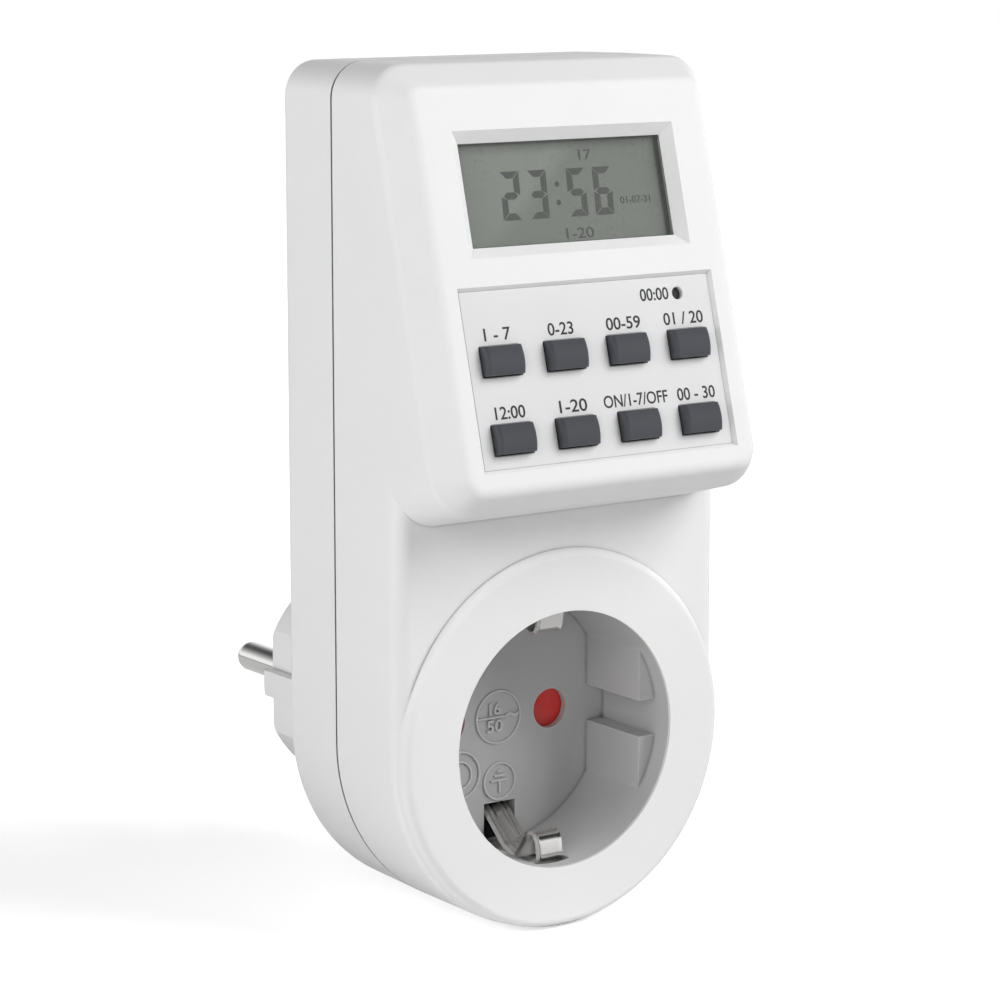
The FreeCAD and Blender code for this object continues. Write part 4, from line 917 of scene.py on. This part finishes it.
@dataclass(frozen=True)
class FacePlace:
    """The tilted face's own frame: X across, Y up the face, Z out of it."""

    front: float = -65.07
    height: float = 60.0
    tilt: float = 15.05

    def matrix(self, u: float = 0.0, v: float = 0.0, depth: float = 0.0) -> Matrix:
        """The place of a piece on the face.

        Args:
            u: how far to the right of the face's middle.
            v: how far up the face.
            depth: how far behind the face's plane.

        Returns:
            The matrix that carries a piece there.
        """
        face = Matrix.Translation(Vector((0.0, self.front, self.height)) * MM)
        face = face @ Matrix.Rotation(math.radians(90.0 - self.tilt), 4, "X")
        return face @ Matrix.Translation(Vector((u, v, -depth)) * MM)


FACE = FacePlace()


@dataclass(frozen=True)
class Caption:
    """One sign: what it says, the middle of its place and its size."""

    text: str
    u: float
    v: float
    width: float
    height: float = 1.85

    def flat(self, thickness: float) -> Workpiece:
        """The sign as a layer around the origin."""
        return Workpiece.lettering(self.text, self.width, self.height, thickness)

    def on_face(self, thickness: float, depth: float) -> Workpiece:
        """The sign at its place on the tilted face, its middle that far behind the plane."""
        return self.flat(thickness).place(FACE.matrix(self.u, self.v, depth))


@dataclass
class KeyPanel:
    """The printed foil on the sunk panel, with its openings and captions."""

    half_width: float = 22.2
    low: float = -16.34
    high: float = 8.98
    depth: float = 0.65
    thickness: float = 0.06
    ink_bed: float = 0.01
    edge: float = 0.012
    key_half: tuple[float, float] = (3.56, 2.34)
    key_corner: float = 0.35
    columns: tuple[float, ...] = (-16.73, -5.577, 5.577, 16.73)
    rows: tuple[float, ...] = (-1.1, -12.25)
    reset: tuple[float, float, float] = (16.3, 6.45, 1.05)
    ink: float = 0.03
    captions: tuple[Caption, ...] = (
        Caption("1 - 7", -16.7, 2.75, 4.6),
        Caption("0-23", -5.65, 2.75, 4.5),
        Caption("00-59", 5.6, 2.75, 6.2),
        Caption("01 / 20", 16.65, 2.75, 7.3),
        Caption("12:00", -16.5, -8.45, 5.2),
        Caption("1-20", -5.45, -8.45, 4.9),
        Caption("ON/1-7/OFF", 5.8, -8.45, 11.6),
        Caption("00 - 30", 16.9, -8.45, 7.0),
        Caption("00:00", 12.0, 6.55, 5.2),
    )

    def build(self, shop: PaintShop) -> None:
        """Make the foil and its print.

        Args:
            shop: has the finishes.
        """
        top = self.depth - self.thickness
        foil = self.foil().place(FACE.matrix(depth=top)).tidy().smooth()
        foil.hand_over("housing", shop["panel_foil"], "white_plastic")
        signs = [sign.on_face(self.ink, top - self.ink / 2) for sign in self.captions]
        printed = Workpiece.gather("key_captions", signs)
        printed.hand_over("housing", shop["panel_ink"], "dark_plastic")

    def foil(self) -> Workpiece:
        """A thin sheet with an opening round each key and the reset hole.

        Returns:
            The sheet, with the underside of its ink at Z = 0.
        """
        low = (-self.half_width, self.low, -self.thickness)
        foil = Workpiece.block("panel_foil", low, (self.half_width, self.high, self.ink_bed))
        half_u, half_v = self.key_half
        key = Workpiece.block("key_opening", (-half_u, -half_v, -THROUGH), (half_u, half_v, THROUGH))
        key.bevel(upright, self.key_corner, 4)
        for v in self.rows:
            for u in self.columns:
                foil.cut(key.copy("opening").shift(u, v))
        bpy.data.objects.remove(key.obj)
        u, v, radius = self.reset
        foil.cut(Workpiece.rod("reset_opening", (u, v, 0.0), radius, 2 * THROUGH, sides=48))
        return foil.bevel(upper_rim, self.edge, 2)


@dataclass
class LiquidCrystal:
    """The dark figures that the display shows, just above its glass."""

    depth: float = 3.13
    thickness: float = 0.03
    height: float = 7.1
    digit_width: float = 3.3
    stroke: float = 1.02
    gap: float = 0.09
    lean: float = 0.06
    middle_v: float = 22.55
    crossbar_ends: float = 0.9
    crossbar_point: float = 0.96
    digits: tuple[tuple[str, float], ...] = (("2", -9.35), ("3", -4.55), ("5", 2.4), ("6", 7.1))
    colon_u: float = -1.05
    dots: tuple[float, float] = (-1.35, 1.35)
    dot_radius: float = 0.408
    dot_edge: float = 0.008
    segments: Mapping[str, str] = field(
        default_factory=lambda: {"2": "abged", "3": "abgcd", "5": "afgcd", "6": "afgecd"}
    )
    signs: tuple[Caption, ...] = (
        Caption("17", 4.75, 28.0, 2.3, 1.5),
        Caption("1-20", 1.85, 16.6, 5.0, 1.6),
        Caption("01-07-31", 12.7, 21.0, 5.5, 1.1),
    )

    def build(self, shop: PaintShop) -> None:
        """Lay every segment, the colon and the small signs.

        Args:
            shop: has the finishes.
        """
        leaning = Matrix.Identity(4)
        leaning[0][1] = self.lean
        pieces = [piece for text, u in self.digits for piece in self.digit(text, u)]
        pieces += [self.dot(v) for v in self.dots]
        for piece in pieces:
            piece.place(FACE.matrix(0.0, self.middle_v, self.depth) @ leaning)
        pieces += [sign.on_face(self.thickness, self.depth) for sign in self.signs]
        shown = Workpiece.gather("display_figures", pieces)
        shown.hand_over("housing", shop["liquid_crystal"], "display_glass")

    def bar(self, length: float) -> Workpiece:
        """One square-ended bar lying along X, around the origin."""
        end, half, low = length / 2, self.stroke / 2, self.thickness / 2
        return Workpiece.block("segment", (-end, -half, -low), (end, half, low))

    def segment(self, length: float, left: float, right: float) -> Workpiece:
        """One mitred bar, its long side up.

        Args:
            length: of the long side.
            left: how far the mitre cuts in at the left end.
            right: the same at the right end.

        Returns:
            The bar, around the origin.
        """
        bar = self.bar(length)
        for side, cut_in in ((-1, left), (1, -right)):
            bar.slide(Element.VERT, lambda at, way: at.x * side > 0 and at.y < 0, (cut_in, 0.0, 0.0))
        return bar

    def crossbar(self) -> Workpiece:
        """The middle bar, pointed at both ends."""
        bar = self.bar(self.digit_width - self.crossbar_ends * self.stroke)
        return bar.bevel(upright, self.stroke / 2 * self.crossbar_point, 1)

    def digit(self, text: str, u: float) -> list[Workpiece]:
        """The bars of one figure.

        Args:
            text: the figure.
            u: the middle of its place.

        Returns:
            Its bars, around v = 0.
        """
        out, up = (self.digit_width - self.stroke) / 2, (self.height - self.stroke) / 2
        across, upright_length = self.digit_width - 2 * self.gap, self.height / 2 - 2 * self.gap
        quarter, corner, meeting = self.height / 4, self.stroke, self.stroke / 2
        places = {
            "a": (0.0, up, across, 0.0, corner, corner),
            "d": (0.0, -up, across, 180.0, corner, corner),
            "f": (-out, quarter, upright_length, 90.0, meeting, corner),
            "e": (-out, -quarter, upright_length, 90.0, corner, meeting),
            "b": (out, quarter, upright_length, -90.0, corner, meeting),
            "c": (out, -quarter, upright_length, -90.0, meeting, corner),
        }
        bars = []
        for letter in self.segments[text]:
            if letter == "g":
                bars.append(self.crossbar().shift(u, 0.0))
                continue
            x, y, length, turn, left, right = places[letter]
            bar = self.segment(length, left, right)
            bar.place(Matrix.Rotation(math.radians(turn), 4, "Z"))
            bars.append(bar.shift(u + x, y))
        return bars

    def dot(self, v: float) -> Workpiece:
        """One round dot of the colon between hours and minutes."""
        dot = Workpiece.rod("dot", (self.colon_u, v, 0.0), self.dot_radius, self.thickness, sides=32)
        return dot.bevel(upper_rim, self.dot_edge, 1)


# The socket


@dataclass
class FloorMarks:
    """The raised marks on the floor of the well."""

    floor: float = -40.6
    raised: float = 0.3
    line: float = 0.28
    ring_edge: float = 0.05
    bar_edge: float = 0.04
    numbers: tuple[float, float, float] = (-0.3, 0.0, 4.2)
    earth: tuple[float, float, float] = (-0.1, -10.1, 3.0)
    plain: tuple[float, float, float] = (-7.5, -8.2, 3.8)
    plain_inner: float = 0.6
    signs: tuple[Caption, ...] = (
        Caption("16", -1.0, 1.35, 2.1, 1.9),
        Caption("50", -1.0, -1.35, 2.9, 1.9),
        Caption("~", 2.22, 0.1, 2.4, 0.8),
    )
    rule: tuple[float, float, float, float] = (-4.08, 0.96, -0.13, 0.13)
    earth_bars: tuple[float, ...] = (1.6, 1.0, 0.5)
    earth_step: float = 0.75
    earth_stem: float = 1.8
    stem_gap: float = 0.1

    def build(self, shop: PaintShop) -> None:
        """Make the three marks as one moulded layer.

        Args:
            shop: has the finishes.
        """
        x, y, radius = self.plain
        marks = [self.ring(*place) for place in (self.numbers, self.earth, self.plain)]
        marks.append(self.ring(x, y, radius * self.plain_inner))
        marks += [sign.flat(self.raised).shift(sign.u, sign.v) for sign in self.signs]
        marks += [self.bar(*self.rule), *self.earth_sign()]
        layer = Workpiece.gather("floor_marks", marks)
        turn = Matrix.Translation(Vector((0.0, self.floor - self.raised / 2, 0.0)) * MM)
        layer.place(turn @ Matrix.Rotation(math.pi / 2, 4, "X"))
        layer.hand_over("housing", shop["raised_grey"], "grey_plastic")

    def ring(self, x: float, y: float, radius: float) -> Workpiece:
        """A raised ring with a softened top.

        Args:
            x: its middle across.
            y: its middle upwards.
            radius: its outer radius.

        Returns:
            The ring.
        """
        hole = Workpiece.rod("hole", (x, y, 0.0), radius - self.line, THROUGH, sides=72)
        ring = Workpiece.rod("ring", (x, y, 0.0), radius, self.raised, sides=72)
        return ring.cut(hole).bevel(upper_rim, self.ring_edge, 2)

    def bar(self, x0: float, x1: float, y0: float, y1: float) -> Workpiece:
        """A raised bar from x0 to x1 and y0 to y1, with a softened top."""
        half = self.raised / 2
        return Workpiece.block("bar", (x0, y0, -half), (x1, y1, half)).bevel(upper_rim, self.bar_edge, 2)

    def earth_sign(self) -> list[Workpiece]:
        """The earth sign the other way up: a stem and three bars above it.

        Returns:
            Its bars.
        """
        x, y = self.earth[:2]
        half_line = self.line / 2
        signs = [self.bar(x - half_line, x + half_line, y - self.earth_stem, y)]
        for step, half in enumerate(self.earth_bars):
            low = y + self.stem_gap + step * self.earth_step
            signs.append(self.bar(x - half, x + half, low - half_line, low + half_line))
        return signs


@dataclass
class EarthClips:
    """The bent strip with a sprung clip at each end of the well, pressed with two grooves."""

    width: float = 4.6
    thickness: float = 0.6
    columns: int = 12
    bend: float = 0.75
    roll: float = 1.08
    groove: float = 0.22
    rolled_edge: float = 0.28
    groove_front: float = -49.6
    pressed_end: float = -38.0
    crest: tuple[float, float] = (-52.1, 15.7)
    crest_reach: tuple[float, float] = (1.3, 0.05)
    near: float = 0.01
    shaded_turn: float = 50.0
    path: tuple[tuple[float, float], ...] = (
        (-52.6, 20.55),
        (-53.8, 19.15),
        (-53.2, 15.7),
        (-51.03, 15.7),
        (-47.85, 20.3),
        (-44.65, 19.15),
        (-39.35, 14.6),
        (-34.6, 14.0),
    )

    def build(self, shop: PaintShop) -> None:
        """Bend the strip, press its grooves and give it its thickness on both sides of its middle plane.

        Args:
            shop: has the finishes.
        """
        strip = self.bent()
        self.press(strip)
        strip.finish_with("SOLIDIFY", thickness=self.thickness * MM, offset=0.0, use_even_offset=True)
        strip.tidy().smooth(self.shaded_turn)
        strip.hand_over("housing", shop["nickelled_strip"], "nickelled_strip", "earth_bracket")

    def bent(self) -> Workpiece:
        """The middle plane of the strip, bent along the whole path.

        Returns:
            The strip.
        """
        route = [(y, -z) for y, z in self.path] + list(reversed(self.path))
        deselect()
        bpy.ops.mesh.primitive_grid_add(x_subdivisions=self.columns, y_subdivisions=1, size=1.0)
        strip = Workpiece.taken_up("earth_clips")
        (y0, z0), (y1, z1) = route[:2]
        strip.place(Matrix((
            (self.width * MM, 0.0, 0.0, 0.0),
            (0.0, (y1 - y0) * MM, 0.0, (y0 + y1) / 2 * MM),
            (0.0, (z1 - z0) * MM, 1.0, (z0 + z1) / 2 * MM),
            (0.0, 0.0, 0.0, 1.0),
        )))
        for (y0, z0), (y1, z1) in zip(route[1:], route[2:]):
            strip.slide(Element.EDGE, self.end_at(y0, z0), (0.0, y1 - y0, z1 - z0), extrude=True)
        strip.bevel(lambda middle, way: self.across(way) and not self.at_roll(middle), self.bend, 6, 4.0)
        return strip.bevel(lambda middle, way: self.across(way) and self.at_roll(middle), self.roll, 9)

    @staticmethod
    def across(way: Vector) -> bool:
        """Whether an edge runs across the strip."""
        return abs(way.x) > ALONG

    def end_at(self, y: float, z: float) -> PlaceTest:
        """A test that takes the strip's end where the path has come to."""
        return lambda middle, way: self.across(way) and math.hypot(middle.y - y, middle.z - z) < self.near

    def at_roll(self, middle: Vector) -> bool:
        """Whether a place lies on the two bends of a clip's roll."""
        y_off, z_off = middle.y - self.crest[0], abs(middle.z) - self.crest[1]
        return abs(y_off) < self.crest_reach[0] and abs(z_off) < self.crest_reach[1]

    def lengthwise(self, x: float, near: float, front: float) -> PlaceTest:
        """A test that takes the points near x on both sides, from the front to where the pressing ends."""
        end = self.pressed_end
        return lambda middle, way: abs(abs(middle.x) - x) < near and front < middle.y < end

    def press(self, strip: Workpiece) -> None:
        """Sink two lengthwise grooves and turn the edges down, both as far as the carrier's slot.

        Args:
            strip: the bent strip.
        """
        step = self.width / self.columns
        grooves = (self.columns / 4 * step, self.groove, self.groove_front)
        edges = (self.width / 2, self.rolled_edge, -math.inf)
        for x, deep, front in (grooves, edges):
            strip.pick(Element.VERT, self.lengthwise(x, step / 4, front))
            bpy.ops.transform.shrink_fatten(value=deep * MM)
            deselect()


# The studio


@dataclass(frozen=True)
class SoftLight:
    """A soft square lamp: its turn round the object and its height in degrees, watts and metres."""

    name: str
    turn: float
    height: float
    power: float
    size: float = 0.7
    distance: float = 1.1


@dataclass
class Studio:
    """Camera, lamps, pale floor and white surroundings."""

    eye: Triple = (-282.1, -442.0, 121.2)
    yaw: float = -35.11
    dip: float = 10.12
    lens: float = 118.7
    sensor: float = 36.0
    nearest: float = 10.0
    aim: Triple = (0.0, -45.0, 35.0)
    horizon: tuple[float, float] = (12.0, 34.0)
    overhead: float = 0.05
    lights: tuple[SoftLight, ...] = (
        SoftLight("key_light", 45.0, 37.0, 10.6),
        SoftLight("left_light", -95.0, 8.0, 6.2),
        SoftLight("front_light", -55.0, 18.0, 3.9),
        SoftLight("right_light", 60.0, 18.0, 1.6),
    )
    floor_z: float = -29.1
    floor_half: float = 4000.0
    floor_thickness: float = 5.0
    floor_grey: float = 0.85
    near_glow: float = 0.58
    glow_rise: tuple[float, float] = (150.0, 650.0)

    def build(self) -> None:
        """Set everything up."""
        self.camera()
        self.world()
        self.floor()
        for light in self.lights:
            self.lamp(light)
        bpy.context.scene.view_settings.view_transform = "Standard"
        log.info("studio ready")

    def camera(self) -> None:
        """The camera at the photograph's place."""
        data = bpy.data.cameras.new("camera")
        data.lens = self.lens
        data.sensor_width = self.sensor
        data.clip_start = self.nearest * MM
        eye = bpy.data.objects.new("camera", data)
        eye.location = [c * MM for c in self.eye]
        eye.rotation_euler = (math.radians(90.0 - self.dip), 0.0, math.radians(self.yaw))
        bpy.context.scene.collection.objects.link(eye)
        bpy.context.scene.camera = eye

    @staticmethod
    def straight(graph: Graph) -> Socket:
        """1 for what the camera sees, directly or through the window.

        Args:
            graph: where the nodes go.

        Returns:
            The value.
        """
        path = graph.add("LightPath").outputs
        unscattered = graph.maths("LESS_THAN", path["Diffuse Depth"], 0.5)
        through = graph.times(path["Is Transmission Ray"], unscattered)
        return graph.maths("MAXIMUM", path["Is Camera Ray"], through)

    def world(self) -> None:
        """White to look at; mirrored, it is white round the horizon and dark overhead."""
        world = bpy.data.worlds.new("surroundings")
        graph = Graph.fresh(world)
        straight = self.straight(graph)
        height = graph.part(graph.add("TexCoord").outputs["Generated"], 2)
        low, high = (math.sin(math.radians(angle)) for angle in self.horizon)
        glossy = graph.add("LightPath").outputs["Is Glossy Ray"]
        mirrored = graph.times(glossy, graph.between(height, low, high, 1.0, self.overhead))
        strength = graph.maths("MAXIMUM", straight, mirrored)
        sky = graph.add("Background", {"Color": WHITE, "Strength": strength})
        graph.add("OutputWorld", {"Surface": sky.outputs[0]})
        bpy.context.scene.world = world

    def floor(self) -> None:
        """A wide pale floor that keeps the shadow; as the camera sees it, it also glows, less near the
        object and fully white further off.
        """
        half, low = self.floor_half, self.floor_z - self.floor_thickness
        floor = Workpiece.block("floor", (-half, -half, low), (half, half, self.floor_z))
        material = bpy.data.materials.new("pale_floor")
        graph = Graph.fresh(material)
        matt = graph.add("BsdfDiffuse", {"Color": colour((self.floor_grey,) * 3), "Roughness": 0.5})
        straight = self.straight(graph)
        place = graph.add("TexCoord").outputs["Object"]
        far = graph.add("VectorMath", {0: place}, operation="LENGTH").outputs["Value"]
        near, wide = (reach * MM for reach in self.glow_rise)
        strength = graph.times(straight, graph.between(far, near, wide, self.near_glow, 1.0))
        glow = graph.add("Emission", {"Color": WHITE, "Strength": strength})
        both = graph.add("AddShader", {0: matt.outputs[0], 1: glow.outputs[0]})
        graph.add("OutputMaterial", {"Surface": both.outputs[0]})
        floor.obj.data.materials.append(material)

    def lamp(self, light: SoftLight) -> None:
        """Hang one soft square lamp that looks at the middle of the object.

        Args:
            light: where it hangs and how strong it is.
        """
        data = bpy.data.lights.new(light.name, "AREA")
        data.shape = "SQUARE"
        data.size = light.size
        data.energy = light.power
        lamp = bpy.data.objects.new(light.name, data)
        lamp.visible_glossy = False
        lamp.visible_transmission = False
        height, turn = math.radians(light.height), math.radians(light.turn)
        level = math.cos(height)
        way = Vector((math.sin(turn) * level, -math.cos(turn) * level, math.sin(height)))
        lamp.location = Vector(self.aim) * MM + way * light.distance
        lamp.rotation_euler = (-way).to_track_quat("-Z", "Y").to_euler()
        bpy.context.scene.collection.objects.link(lamp)


# The closing steps


def main() -> None:
    """Build every sub-assembly in order."""
    logging.basicConfig(level=logging.INFO, format="%(name)s %(message)s")
    shop = PaintShop()
    shop.dress_solids()
    KeyPanel().build(shop)
    LiquidCrystal().build(shop)
    FloorMarks().build(shop)
    EarthClips().build(shop)
    Studio().build()


if __name__ == "__main__":
    main()
